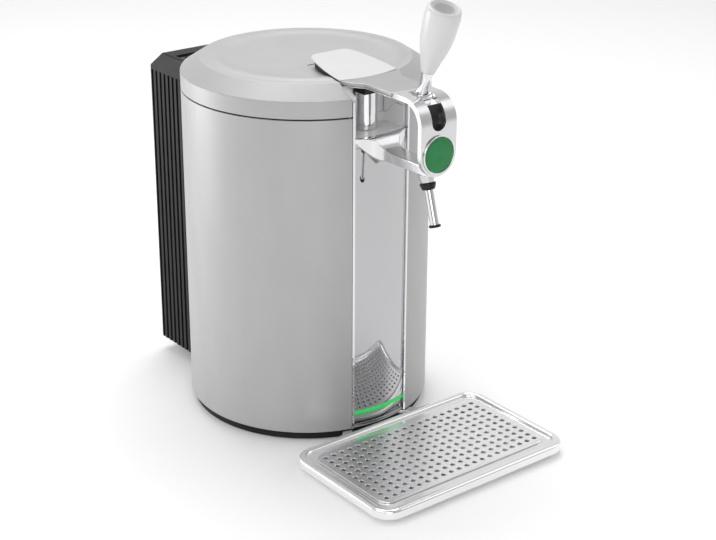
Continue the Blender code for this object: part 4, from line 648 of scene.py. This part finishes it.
def make_housing():
    """The ribbed housing: a side outline given width, hollowed, with even grooves down both sides."""
    outer = [(100, HOUSE_FOOT), (HOUSE_BACK, HOUSE_FOOT), (HOUSE_BACK, 342.6), (162, HOUSE_TOP),
             (100, HOUSE_TOP)]
    inner = [(90, 16), (185.5, 16), (185.5, 341.4), (161.2, 358.5), (90, 358.5)]
    house = rounded(prism("rear_case", outer, -HOUSE_HALF, HOUSE_HALF, "X"), 1.6, 4, 20)
    lid_room = (-70.3, 70.3, 90, 142.3, 351, 371)
    grille = (-50.3, 50.3, 180, 198, 119.7, 240.3)
    inlet = (26.2, 53.8, 180, 198, 34.2, 55.8)
    switch = (-50.3, -29.7, 180, 198, 37.2, 52.8)
    cut(house, prism("tool", inner, -70, 70, "X"), drum("tool", 130.3, -10, SHELL_TOP, 256),
        drum("tool", 131.5, SHELL_TOP - GAP, 500, 256),
        *[block("tool", *opening) for opening in (lid_room, grille, inlet, switch)])
    for i in range(GROOVES):
        y = HOUSE_BACK - RIB_PITCH * (i + 1) + GROOVE_WIDTH / 2
        groove = eased([(y, 0), (y + GROOVE_WIDTH, 0), (y + GROOVE_WIDTH, GROOVE_TOP), (y, GROOVE_TOP)], 1.2)
        cut(house, prism("tool", groove, -80, -GROOVE_FLOOR, "X"),
            prism("tool", groove, GROOVE_FLOOR, 80, "X"))
    finish_piece(rounded(house, 0.5, 2, 40), M["black"], "case", "rear_housing")


# Lid

def lid_crest(r):
    """The lid's low crest, from 0 to 1: exp(-((r - 95) / 9)^2)."""
    return np.exp(-((r - CREST_R) / CREST_WIDTH) ** 2)


def lid_profile():
    """Lid section: a band, a slope of 13 over 20 mm, a low crest at 95 mm and a shallow dish inside it."""
    r = np.linspace(LID_EDGE, 0, 60)
    z = LID_TOP + 1.8 * lid_crest(r) + 0.25 * np.cos(np.pi * np.clip(r / 80, 0, 1))
    z = np.where(r > 104, np.minimum(z, LID_TOP + (LID_EDGE - r) * 0.14), z)
    top = np.stack([r, z], axis=1)[r < 106]
    outer = eased([(BODY_R, LID_FOOT), (BODY_R, LID_BAND), (LID_R, LID_TOP), (100, 383.0)],
                  [0, 1.6, 2.2, 0], 7, False)
    inside = [(0, 379.3), (95, 379.3), (107.3, 379.0), (127.3, 367.8), (127.3, LID_FOOT)]
    return np.concatenate([outer[outer[:, 0] > 106.5], top, inside])


def make_lid():
    """The lid with its notch and the flap's bed, and the plug: a disc less a bite round the column."""
    lid = lathe("lid_cover", lid_profile(), 256)
    cut(lid, prism("tool", strip_outline(-NOTCH - GAP, NOTCH + GAP, LID_R, 145, 60), 340, 400))
    cut(lid, prism("tool", flap_outline(0.8, 3.2), 381.3, 400))
    finish_piece(rounded(lid, 0.35, 2, 40), M["lid"], "lid", "lid_shell")
    away = -COLUMN_Y
    reach = (PLUG_R ** 2 + away ** 2 - PLUG_BITE ** 2) / (2 * away)
    half = math.degrees(math.acos(reach / PLUG_R))
    bite = math.degrees(math.atan2(math.sqrt(PLUG_R ** 2 - reach ** 2), away - reach))
    plan = np.concatenate([circle_points(0, 0, PLUG_R, -90 + half, 270 - half, 200),
                           circle_points(0, COLUMN_Y, PLUG_BITE, 90 + bite, 90 - bite, 32)[1:-1]])
    plug = slab("lid_underside", plan, PLUG_FOOT, 379.0, 0.8)
    finish_piece(plug, M["grey"], "lid", "lid_plug")


def flap_outline(margin=0.0, back_margin=0.0):
    """Plan of the flap: an arc of the lid's edge, then sides x = 35.5 - 12 s^2 up to a straight back."""
    front = LID_EDGE + margin
    half = FLAP_HALF + margin
    x = np.linspace(-half, half, FLAP_POINTS)
    arc = np.stack([x, -np.sqrt(front ** 2 - x ** 2)], axis=1)
    s = np.linspace(0, 1, FLAP_POINTS)[1:]
    corner = arc[-1, 1]
    side = np.stack([half - 12.0 * s ** 2, corner + (FLAP_BACK + back_margin - corner) * s], axis=1)
    return np.concatenate([arc, side, side[::-1] * [-1, 1]])


def eased_tail(outline, reach=7.0, inward=8.0):
    """Rounds the flap's back corners with curves from about 7 mm before the back to 8 mm inwards."""
    corner = 2 * FLAP_POINTS - 2
    c = outline[corner]
    before = outline[:, 1] < c[1] - reach
    right = outline[:corner + 1][before[:corner + 1]]
    left = outline[corner + 1:][before[corner + 1:]]
    curve = bend(right[-1], c, c - [inward, 0], np.linspace(0, 1, 12)[:, None])
    return np.concatenate([right[:-1], curve, curve[::-1] * [-1, 1], left[1:]])


def flap_height(y):
    """Underside of the flap: it rises 9.5 mm over the 71.5 mm from the lid's edge to its back."""
    return FLAP_FOOT + (LID_EDGE + y) * FLAP_RISE / (LID_EDGE + FLAP_BACK)


def make_flap():
    def lay(points):
        """Puts the flap on its slope, its top 0.42 mm higher in the middle than 36 mm to the side."""
        out = points.copy()
        crown = 0.42 * (1 - (points[..., 0] / 36) ** 2) * np.clip(points[..., 2] / FLAP_THICK, 0, 1)
        out[..., 2] = flap_height(points[..., 1]) + points[..., 2] + crown
        return out

    def hang(points):
        """The rim below the flap: its foot keeps a little above the lid's crest."""
        out = points.copy()
        foot = LID_TOP + 0.5 + 1.4 * lid_crest(np.hypot(points[..., 0], points[..., 1]))
        head = flap_height(points[..., 1]) + 0.1
        out[..., 2] = np.where(points[..., 2] < 0.5, np.minimum(foot, head - 0.2), head)
        return out

    flap = slab("flap_cover", eased_tail(flap_outline()), 0.0, FLAP_THICK, 0.6, 4, "Z", lay)
    finish_piece(flap, M["pearl"], "flap", "tube_flap")
    low = flap_outline(-1.6)
    skirt = slab("flap_skirt", low[low[:, 1] < -50.0], 0.0, 1.0, 0.0, 1, "Z", hang)
    finish_piece(skirt, M["gloss"], "flap")
    y, z = FLAP_AXIS_Y, flap_height(FLAP_AXIS_Y) - 2.9
    barrel = slab("flap_barrel", circle_points(y, z, 2.5, 0, 348, 30), -9, 9, 0.3, 2, "X")
    fuse(barrel, block("tool", -9, 9, y - 2, y + 2, z, flap_height(y) + 0.6))
    cut(barrel, prism("tool", circle_points(y, z, 1.4, 0, 345, 24), -20, 20, "X"))
    finish_piece(barrel, M["pearl"], "flap")


# Tap

def make_column():
    """The column and the dark collar over it, its black partly painted shade, a box whose back bulges out
    behind the column.
    """
    column = drum("chrome_column", COLUMN_R, POCKET_FLOOR + GAP, COLUMN_TOP, 96, COLUMN_Y)
    finish_piece(column, M["chrome"], "case", "tap_column")
    back = -math.sqrt(DECK_R ** 2 - COLLAR_HALF ** 2) - 2
    plan = np.concatenate([[(-COLLAR_HALF, COLLAR_FRONT), (COLLAR_HALF, COLLAR_FRONT), (COLLAR_HALF, back),
                            (11.2, back)], circle_points(0, COLUMN_Y, COLUMN_R, 18, 162, 24),
                           [(-11.2, back), (-COLLAR_HALF, back)]])
    # Painted shade: the collar's black stands partly for the shade under the upper arm, partly for a black
    # plastic collar.
    collar = prism("arm_collar", plan, 367.5, 378.3)
    cut(collar, drum("tool", 111, 376.3, 400, 160))
    finish_piece(rounded(collar, 0.6, 3), M["gloss"], "case", "column_collar")
    column_neck()


def column_neck(rows=24, columns=72, low=366.1, rise=10.1, depth=6.5, bow=4.5):
    """The chrome sweep from the column to the arm.

    A superellipse whose power goes from 2 to 5 and whose half depth goes from the column's radius to 6.5 mm,
    both by the share s^2 (3 - 2s), with s the way up from 0 to 1. Its middle lies 4.5 (1 - s) times that share
    in front of the column's.
    """
    s = np.linspace(0, 1, rows)[:, None]
    share = s * s * (3 - 2 * s)
    x, y = superellipse(COLUMN_R, COLUMN_R - (COLUMN_R - depth) * share, 2.0 + 3.0 * share, columns)
    z = np.broadcast_to(low + rise * s, x.shape)
    points = np.stack([x, COLUMN_Y - bow * (1 - s) * share + y, z], axis=-1)
    finish_piece(skin("column_neck", points), M["chrome"], "case", "column_collar")


def arm_outline(half=35.5, neck=23.7):
    """Plan of the upper arm: rear edge on a 110.5 mm circle, sides that curve in by s^2, then straight."""
    x = np.linspace(half, -half, 60)
    back = np.stack([x, -np.sqrt(110.5 ** 2 - x ** 2)], axis=1)
    s = np.linspace(0, 1, 30)[1:]
    y0 = back[0, 1]
    side = np.stack([half - 11.8 * s ** 2, y0 + (-127.0 - y0) * s], axis=1)
    tail = through([side[-3], (24.0, -128.5), (neck, -133.0)], 10)[2:]
    side = np.concatenate([side[:-2], tail])
    return np.concatenate([back, side * [-1, 1], [(-neck, -168.0), (neck, -168.0)], side[::-1]])


def make_arms():
    """The upper arm as a plate over a slightly smaller chrome edge, and the lower arm."""
    plan = arm_outline()
    finish_piece(slab("arm_plate", plan, 379.7, ARM_TOP, 1.2, 4), M["arm"], "case", "upper_arm")
    edge = slab("arm_edge", inset(plan, 0.5), 378.6, 379.5, 0.3, 2)
    finish_piece(edge, M["chrome"], "case", "upper_arm")
    spout_arm()


def spaced(ring, steps, parts):
    """Splits each straight side of an eased ring, which starts at a corner's last step, in equal parts."""
    following = np.roll(ring, -1, axis=0)
    t = np.linspace(0, 1, parts, endpoint=False)[None, :, None]
    straight = np.arange(len(ring)) % steps == steps - 1
    filled = ring[:, None] * (1 - t) + following[:, None] * t
    return np.concatenate([filled[i] if straight[i] else ring[i:i + 1] for i in range(len(ring))])


def spout_arm(root=128.4, reach=76.6, keel=8.4, steps=6):
    """The lower arm: a bar that spreads into a wing where it meets the panel.

    At e mm from the root the half width is 10 + 23 exp(-e / 4.2), the top 316.4 + 11.6 / (1 + (e / 9)^3.2)
    and the underside 306 - 7 exp(-e / 6). The section has a flat top and a keel 8.4 mm to each side. Its lips
    are 3 mm high at the root. Its first rows follow the panel's curve: y is -root - e + (root - sqrt(root^2
    - x^2)) exp(-e / 4.2).
    """
    e = np.concatenate([np.linspace(0, 1, 44) ** 1.5 * 30, np.linspace(33, reach, 12)])
    spread = np.exp(-e / 4.2)
    half = 10.0 + 23.0 * spread
    top = 316.4 + 11.6 / (1 + (e / 9.0) ** 3.2)
    low = 306.0 - 7.0 * np.exp(-e / 6.0)
    lip = low + (top - 3.0 - low) * spread + 0.8 * (1 - spread)
    side = np.full_like(e, keel)
    corners = np.stack([np.stack(pair, axis=1) for pair in (
        (half, top), (-half, top), (-half, lip), (-side, low), (side, low), (half, lip))], axis=1)
    radii = [0.9, 0.9, 0.8, 3.0, 3.0, 0.8]
    rings = np.stack([spaced(eased(ring, radii, steps), steps, 8) for ring in corners])
    x, z = rings[..., 0], rings[..., 1]
    y = (root - np.sqrt(root ** 2 - x ** 2)) * spread[:, None] - root - e[:, None]
    finish_piece(skin("spout_arm", np.stack([x, y, z], axis=-1)), M["head"], "case", "lower_arm")


def head_band():
    """Side view of the tap head: a 5 mm band over a 25.5 mm arc, flat behind it and straight in front."""
    foot = BADGE_Z - HEAD_HALF
    outer = circle_points(HEAD_TURN_Y, HEAD_TURN_Z, HEAD_R, 90, 180, 40)
    inner = circle_points(HEAD_TURN_Y, HEAD_TURN_Z, HEAD_R - HEAD_WALL, 180, 90, 40)
    return np.concatenate([[(HEAD_BACK, ARM_TOP)], outer, [(HEAD_FACE, foot), (HEAD_FACE + HEAD_WALL, foot)],
                           inner, [(HEAD_BACK, ARM_TOP - HEAD_WALL)]])


def tongue(half, z, top, count):
    """An upright strip in (x, z) that ends below in a half circle about (0, z)."""
    return np.concatenate([[(half, top)], circle_points(0, z, half, 0, -180, count), [(-half, top)]])


def pin_hole():
    """The hole for the lever's pin, through the head's ears and the lever."""
    return prism("tool", circle_points(LEVER_Y, LEVER_Z, 2.3, 0, 345, 24), -13.6, 13.6, "X")


def make_head():
    """The tap head with its round foot, the lever's ears and slot, the slot's lining and the plain badge."""
    head = prism("tap_band", head_band(), -HEAD_HALF, HEAD_HALF, "X")
    keep(head, prism("tool", tongue(HEAD_HALF, BADGE_Z, 400, 64), -230, -150, "Y"))
    ear = circle_points(LEVER_Y, LEVER_Z, 4.6, 0, 352, 46)
    fuse(head, *[prism("tool", ear, x, x + 4.5, "X") for x in (-13.3, 8.8)])
    cut(head, prism("tool", tongue(8.5, 361.1, 420, 40), -230, -174, "Y"))
    cut(head, pin_hole())
    finish_piece(rounded(head, 0.8, 4, 35), M["head"], "case", "tap_head")
    front, back = 20.2, 17.2
    liner = np.concatenate([circle_points(HEAD_TURN_Y, HEAD_TURN_Z, front, 125, 180, 24),
                            [(HEAD_TURN_Y - front, 351), (HEAD_TURN_Y - back, 351)],
                            circle_points(HEAD_TURN_Y, HEAD_TURN_Z, back, 180, 125, 24)])
    finish_piece(slab("slot_lining", liner, -12, 12, 0.4, 2, "X"), M["gloss"], "case", "slot_liner")
    lean = (HEAD_FACE, BADGE_Z, 90)
    dome = through([(0, 1.9), (8, 1.85), (14, 1.6), (16.8, 1.1), (17.6, 0.4), (17.6, 0.3)], 40)
    disc = np.concatenate([dome, [(0, 0.3)]])
    finish_piece(lathe("badge_disc", disc, 96, lean=lean), M["badge"], "case", "badge")
    rim = eased([(17.9, 0.3), (19.5, 0.3), (19.5, 1.8), (17.9, 1.8)], 0.7)
    finish_piece(lathe("badge_rim", rim, 96, lean=lean), M["chrome"], "case", "badge_ring")


def make_lever():
    """The lever's hub, neck and peg in one, the hollow-headed handle on the peg and the cap in its head."""
    lean = (LEVER_Y, LEVER_Z, LEVER_LEAN)
    hub = prism("lever_stem", circle_points(LEVER_Y, LEVER_Z, 7, 0, 354, 60), -8, 8, "X")
    peg = lathe("tool", [(0, 14), (4, 14), (4, 47), (0, 47)], 32, lean=lean)
    fuse(hub, stem_bar(lean), peg)
    cut(hub, pin_hole())
    finish_piece(rounded(hub, 0.7, 3, 35), M["chrome"], "tap_lever", "lever")
    swell = through([(6.7, 29.3), (8.1, 34.0), (11.1, 45.0), (13.2, 52.0), (15.3, 62.0), (16.4, 72.0),
                     (17.0, 82.0), (17.1, 90.0), (16.6, 95.0)], 60)
    lip = through([(16.6, 95.0), (15.9, 96.9), (14.6, 97.9), (13.4, 97.9), (12.6, 97.4)], 18)[1:]
    hollow = [(12.6, 91.6), (14.3, 91.6), (14.3, 88.3), (0, 88.3), (0, 47.3), (4.5, 47.3), (4.5, 29.3)]
    profile = np.concatenate([swell, lip, hollow])
    finish_piece(lathe("handle_grip", profile, 128, lean=lean), M["handle"], "tap_lever", "tap_handle")
    crown = through([(12.5, 97.2), (11.6, 97.1), (9.8, 96.8), (5.0, 96.4), (0, 96.3)], 24)
    cap = np.concatenate([[(0, 88.6), (12.5, 88.6)], crown])
    finish_piece(lathe("grip_inlay", cap, 96, lean=lean), M["cap"], "tap_lever", "handle_cap")


def stem_bar(lean, rows=20, columns=56, length=29.0):
    """The lever's neck: a superellipse whose power goes from 5 at the hub to 2.4 below the grip.

    Its half width is 6.7 - 1.9 sin(pi s) and its half depth 5 - 0.9 sin(pi s), with s the way up from 0 to 1.
    """
    s = np.linspace(0, 1, rows)[:, None]
    waist = np.sin(np.pi * s)
    x, y = superellipse(6.7 - 1.9 * waist, 5.0 - 0.9 * waist, 5.0 - 2.6 * s, columns)
    points = np.stack([x, y, np.broadcast_to(length * s, x.shape)], axis=-1)
    return skin("tool", tipped(points, *lean))


def make_spout(bore=3.3):
    """The nozzle, cut level under the lower arm, and below it the collar, the tube and the tip."""
    lean = (SPOUT_Y, SPOUT_Z, SPOUT_LEAN)
    profile = eased([(9, 4), (9, -4), (6.6, -14.5), (bore, -14.5), (bore, 4)], 0.5)
    nozzle = lathe("tap_nozzle", profile, 80, lean=lean)
    cut(nozzle, block("tool", -20, 20, -230, -150, 305.7, 340))
    finish_piece(nozzle, M["satin"], "case", "nozzle")
    for name, outside, edge, material, node in (
            ("spout_grip", [(8, -14.8), (8, -16.6), (6.4, -21.3)], 0.7, "gloss", "spout_collar"),
            ("spout_pipe", [(4.5, -21.6), (4.5, -56.1)], 0.2, "chrome", "spout_tube"),
            ("spout_end", [(5.9, -56.4), (5.9, -58.7)], 0.6, "gloss", "spout_tip")):
        profile = eased(outside + [(bore, outside[-1][1]), (bore, outside[0][1])], edge)
        finish_piece(lathe(name, profile, 80, lean=lean), M[material], "case", node)


# Drip tray

def tray_plan(depth, count=12):
    """The tray's plan moved in by depth, its corners 22 mm less the depth but at least 5.5 mm."""
    half, front, back = TRAY_HALF - depth, TRAY_FRONT + depth, TRAY_BACK - depth
    corner = max(TRAY_CORNER - depth, 5.5)
    x = np.linspace(corner - half, half - corner, 30)[1:-1]
    return np.concatenate([circle_points(half - corner, back - corner, corner, 0, 90, count),
                           circle_points(corner - half, back - corner, corner, 90, 180, count),
                           circle_points(corner - half, front + corner, corner, 180, 270, count),
                           np.stack([x, np.full_like(x, front)], axis=1),
                           circle_points(half - corner, front + corner, corner, 270, 360, count)])


def make_tray():
    """Nested rounded outlines, where each step of the section is (how far in, height), and the two hooks."""
    crown = through([(0.0, 10.6), (0.5, 12.6), (2.0, 13.9), (4.2, 14.4), (6.4, 14.2), (8.2, 13.3),
                     (9.0, 12.0), (9.4, 11.2)], 26)
    inner = eased([(9.4, 11.2), (21.0, 11.2), (22.0, 4.8), (30.0, 4.8)], [0, 0.6, 1.0, 0], 5, False)[1:]
    outer = eased([(2.2, 3.0), (0.0, 5.2), (0.0, 10.6)], [0, 1.2, 0], 5, False)[:-1]
    rows = []
    for depth, z in np.concatenate([outer, crown, inner]):
        plan = tray_plan(depth)
        rows.append(np.column_stack([plan, np.full(len(plan), z)]))
    finish_piece(skin("tray_dish", np.stack(rows)), M["tray"], "tray", "drip_tray")
    drip_plate()
    near, far, shift, radius = 29.9, 42.1, 15.1, 124.6
    for name, side, node in (("hook_left", -1, "tray_hook_left"), ("hook_right", 1, "tray_hook_right")):
        plan = [(side * near, -math.sqrt(radius ** 2 - near ** 2)),
                (side * far, -math.sqrt(radius ** 2 - far ** 2)),
                (side * (far + shift), HOOK_FOOT_Y), (side * (near + shift), HOOK_FOOT_Y)]
        finish_piece(rounded(prism(name, plan, 5.2, 9.2), 1.2, 4), M["chrome"], "tray", node)


def square_edge(per_side, across=1, deep=1):
    """Evenly spaced points round a square from -1 to 1, from its lower left corner against the clock."""
    a = np.arange(across * per_side) / (across * per_side) * 2 - 1
    b = np.arange(deep * per_side) / (deep * per_side) * 2 - 1
    one_a, one_b = np.ones_like(a), np.ones_like(b)
    return np.concatenate([np.stack([a, -one_a], 1), np.stack([one_b, b], 1),
                           np.stack([-a, one_a], 1), np.stack([-one_b, -b], 1)])


def at_levels(rings):
    """Gives the five rings of a strip their heights: (..., 5, points, 2) becomes (..., 5, points, 3)."""
    level = np.broadcast_to(np.array(PLATE_LEVELS)[:, None, None], rings.shape[:-1] + (1,))
    return np.concatenate([rings, level], axis=-1)


def drip_plate(per_side=5, hole=2.45, sink=2.95, border=13.0, ease=0.5):
    """A thin plate with a square grid of round holes, 20 by 11, each with a small countersink.

    A cell is a strip from its square edge at the underside, in to the hole, up it and out to the square
    again. The border is a strip too: a point p of the grid's edge goes out to q + 13 (p - q) / |p - q|, where
    q is the nearest point of the box that the rounded corners are drawn round.
    """
    across, deep = HOLES
    count = 4 * per_side
    square = square_edge(per_side) * HOLE_PITCH / 2
    angle = np.radians(225.0) + 2 * np.pi * np.arange(count) / count
    ring = np.stack([np.cos(angle), np.sin(angle)], axis=1)
    cx = (np.arange(across) - (across - 1) / 2) * HOLE_PITCH[0]
    cy = PLATE_Y + (np.arange(deep) - (deep - 1) / 2) * HOLE_PITCH[1]
    centres = np.stack(np.meshgrid(cx, cy, indexing="ij"), axis=-1).reshape(-1, 1, 1, 2)
    cells = at_levels(np.stack([square, ring * hole, ring * hole, ring * sink, square])[None] + centres)
    edge = square_edge(per_side, across, deep) * HOLE_PITCH * [across / 2, deep / 2]
    near = np.clip(edge, -PLATE_BOX, PLATE_BOX)
    out = (edge - near) / np.linalg.norm(edge - near, axis=1)[:, None]
    far = near + out * border
    rim = at_levels(np.stack([edge, far, far, near + out * (border - ease), edge]) + [0, PLATE_Y])
    levels = len(PLATE_LEVELS)
    starts = np.arange(len(cells)) * levels * count
    faces = (grid_faces(levels, count)[None] + starts[:, None, None]).reshape(-1, 4)
    rim_faces = grid_faces(levels, rim.shape[1]) + cells.size // 3
    points = np.concatenate([cells.reshape(-1, 3), rim.reshape(-1, 3)])
    plate = tidy(make_mesh("drip_grid", points, np.concatenate([faces, rim_faces]).tolist()))
    finish_piece(plate, M["steel"], "plate", "drip_plate", weigh=False)


# Stage

def make_stage():
    """A white floor that glows a little for rays from the camera and for mirrored and transmitted rays."""
    floor = make_mesh("floor", [(FLOOR_HALF * x, FLOOR_HALF * y, FLOOR_Z)
                                for x, y in ((-1, -1), (1, -1), (1, 1), (-1, 1))], [(0, 1, 2, 3)])
    material = surface("floor_white", (0.88, 0.88, 0.88), 0.6)
    tree, shader = nodes_of(material)
    output = tree.nodes["Material Output"]
    glow = tree.nodes.new("ShaderNodeEmission")
    glow.inputs["Color"].default_value = (1, 1, 1, 1)
    both = tree.nodes.new("ShaderNodeAddShader")
    path = tree.nodes.new("ShaderNodeLightPath")
    seen = path.outputs["Is Camera Ray"]
    for kind in ("Is Glossy Ray", "Is Transmission Ray"):
        either = tree.nodes.new("ShaderNodeMath")
        either.operation = "MAXIMUM"
        tree.links.new(seen, either.inputs[0])
        tree.links.new(path.outputs[kind], either.inputs[1])
        seen = either.outputs[0]
    level = tree.nodes.new("ShaderNodeMath")
    level.operation = "MULTIPLY"
    level.inputs[1].default_value = FLOOR_GLOW
    tree.links.new(seen, level.inputs[0])
    tree.links.new(level.outputs[0], glow.inputs["Strength"])
    tree.links.new(shader.outputs[0], both.inputs[0])
    tree.links.new(glow.outputs[0], both.inputs[1])
    tree.links.new(both.outputs[0], output.inputs["Surface"])
    floor.data.materials.append(material)


def make_world():
    """A soft room: darker on the camera's side, white beyond the object and greyer overhead.

    The level is a straight line in the direction's dot product with the line of sight, less 0.15 of its z.
    """
    world = bpy.data.worlds.new("studio")
    bpy.context.scene.world = world
    world.use_nodes = True
    tree = world.node_tree
    back = tree.nodes["Background"]
    where = tree.nodes.new("ShaderNodeTexCoord")
    along = tree.nodes.new("ShaderNodeVectorMath")
    along.operation = "DOT_PRODUCT"
    along.inputs[1].default_value = SIGHT
    spread = tree.nodes.new("ShaderNodeMapRange")
    for socket, value in (("From Min", -ROOM_REACH), ("From Max", ROOM_REACH), ("To Min", ROOM_NEAR),
                          ("To Max", ROOM_FAR)):
        spread.inputs[socket].default_value = value
    split = tree.nodes.new("ShaderNodeSeparateXYZ")
    lower = tree.nodes.new("ShaderNodeMath")
    lower.operation = "MULTIPLY_ADD"
    lower.inputs[1].default_value = ROOM_DIM
    tree.links.new(where.outputs["Generated"], along.inputs[0])
    tree.links.new(where.outputs["Generated"], split.inputs[0])
    tree.links.new(along.outputs["Value"], spread.inputs["Value"])
    tree.links.new(split.outputs["Z"], lower.inputs[0])
    tree.links.new(spread.outputs["Result"], lower.inputs[2])
    tree.links.new(lower.outputs[0], back.inputs["Strength"])
    back.inputs["Color"].default_value = (1, 1, 1, 1)


def lamp(name, place, target, width, height, power):
    data = bpy.data.lights.new(name, "AREA")
    data.shape = "RECTANGLE"
    data.size = width
    data.size_y = height
    data.energy = power
    item = bpy.data.objects.new(name, data)
    bpy.context.scene.collection.objects.link(item)
    item.location = place
    item.rotation_euler = (Vector(place) - Vector(target)).to_track_quat("Z", "Y").to_euler()


def make_camera():
    data = bpy.data.cameras.new("camera")
    data.sensor_width = SENSOR_WIDTH
    data.lens = CAMERA_FOCAL * SENSOR_WIDTH / PHOTO_WIDTH
    data.clip_end = 50
    item = bpy.data.objects.new("camera", data)
    bpy.context.scene.collection.objects.link(item)
    turn, rise = CAMERA_TURN, CAMERA_RISE
    back = Vector((math.cos(rise) * math.sin(turn), -math.cos(rise) * math.cos(turn), math.sin(rise)))
    right = Vector((math.cos(turn), math.sin(turn), 0))
    up = back.cross(right)
    across = right * math.cos(CAMERA_ROLL) + up * math.sin(CAMERA_ROLL)
    upright = up * math.cos(CAMERA_ROLL) - right * math.sin(CAMERA_ROLL)
    x, y, z = CAMERA_PLACE
    item.matrix_world = Matrix((
        (across.x, upright.x, back.x, x * MM),
        (across.y, upright.y, back.y, (y + BODY_AXIS_Y) * MM),
        (across.z, upright.z, back.z, z * MM),
        (0, 0, 0, 1)))
    bpy.context.scene.camera = item


make_camera()
bpy.context.scene.view_settings.view_transform = "Standard"
dress_nodes()
for step in (make_shell, make_front, make_pocket, make_well, make_housing, make_lid, make_flap, make_column,
             make_arms, make_head, make_lever, make_spout, make_tray):
    step()
make_stage()
make_world()
lamp("key_lamp", (-1.8, -0.3, 1.6), (0, 0, 0.2), 1.8, 1.8, 11)
lamp("top_lamp", (0.5, 1.1, 2.7), (0, 0, 0.2), 1.8, 1.8, 42)
lamp("rim_lamp", (-1.3, 1.5, 0.24), (0, 0, 0.12), 0.9, 0.42, 11)
lamp("front_lamp", (-1.1, -1.7, 0.8), (0, 0, 0.25), 0.9, 0.9, 8)
lamp("fill_lamp", (1.6, -0.8, 1.3), (0, 0, 0.2), 1.2, 1.6, 5)
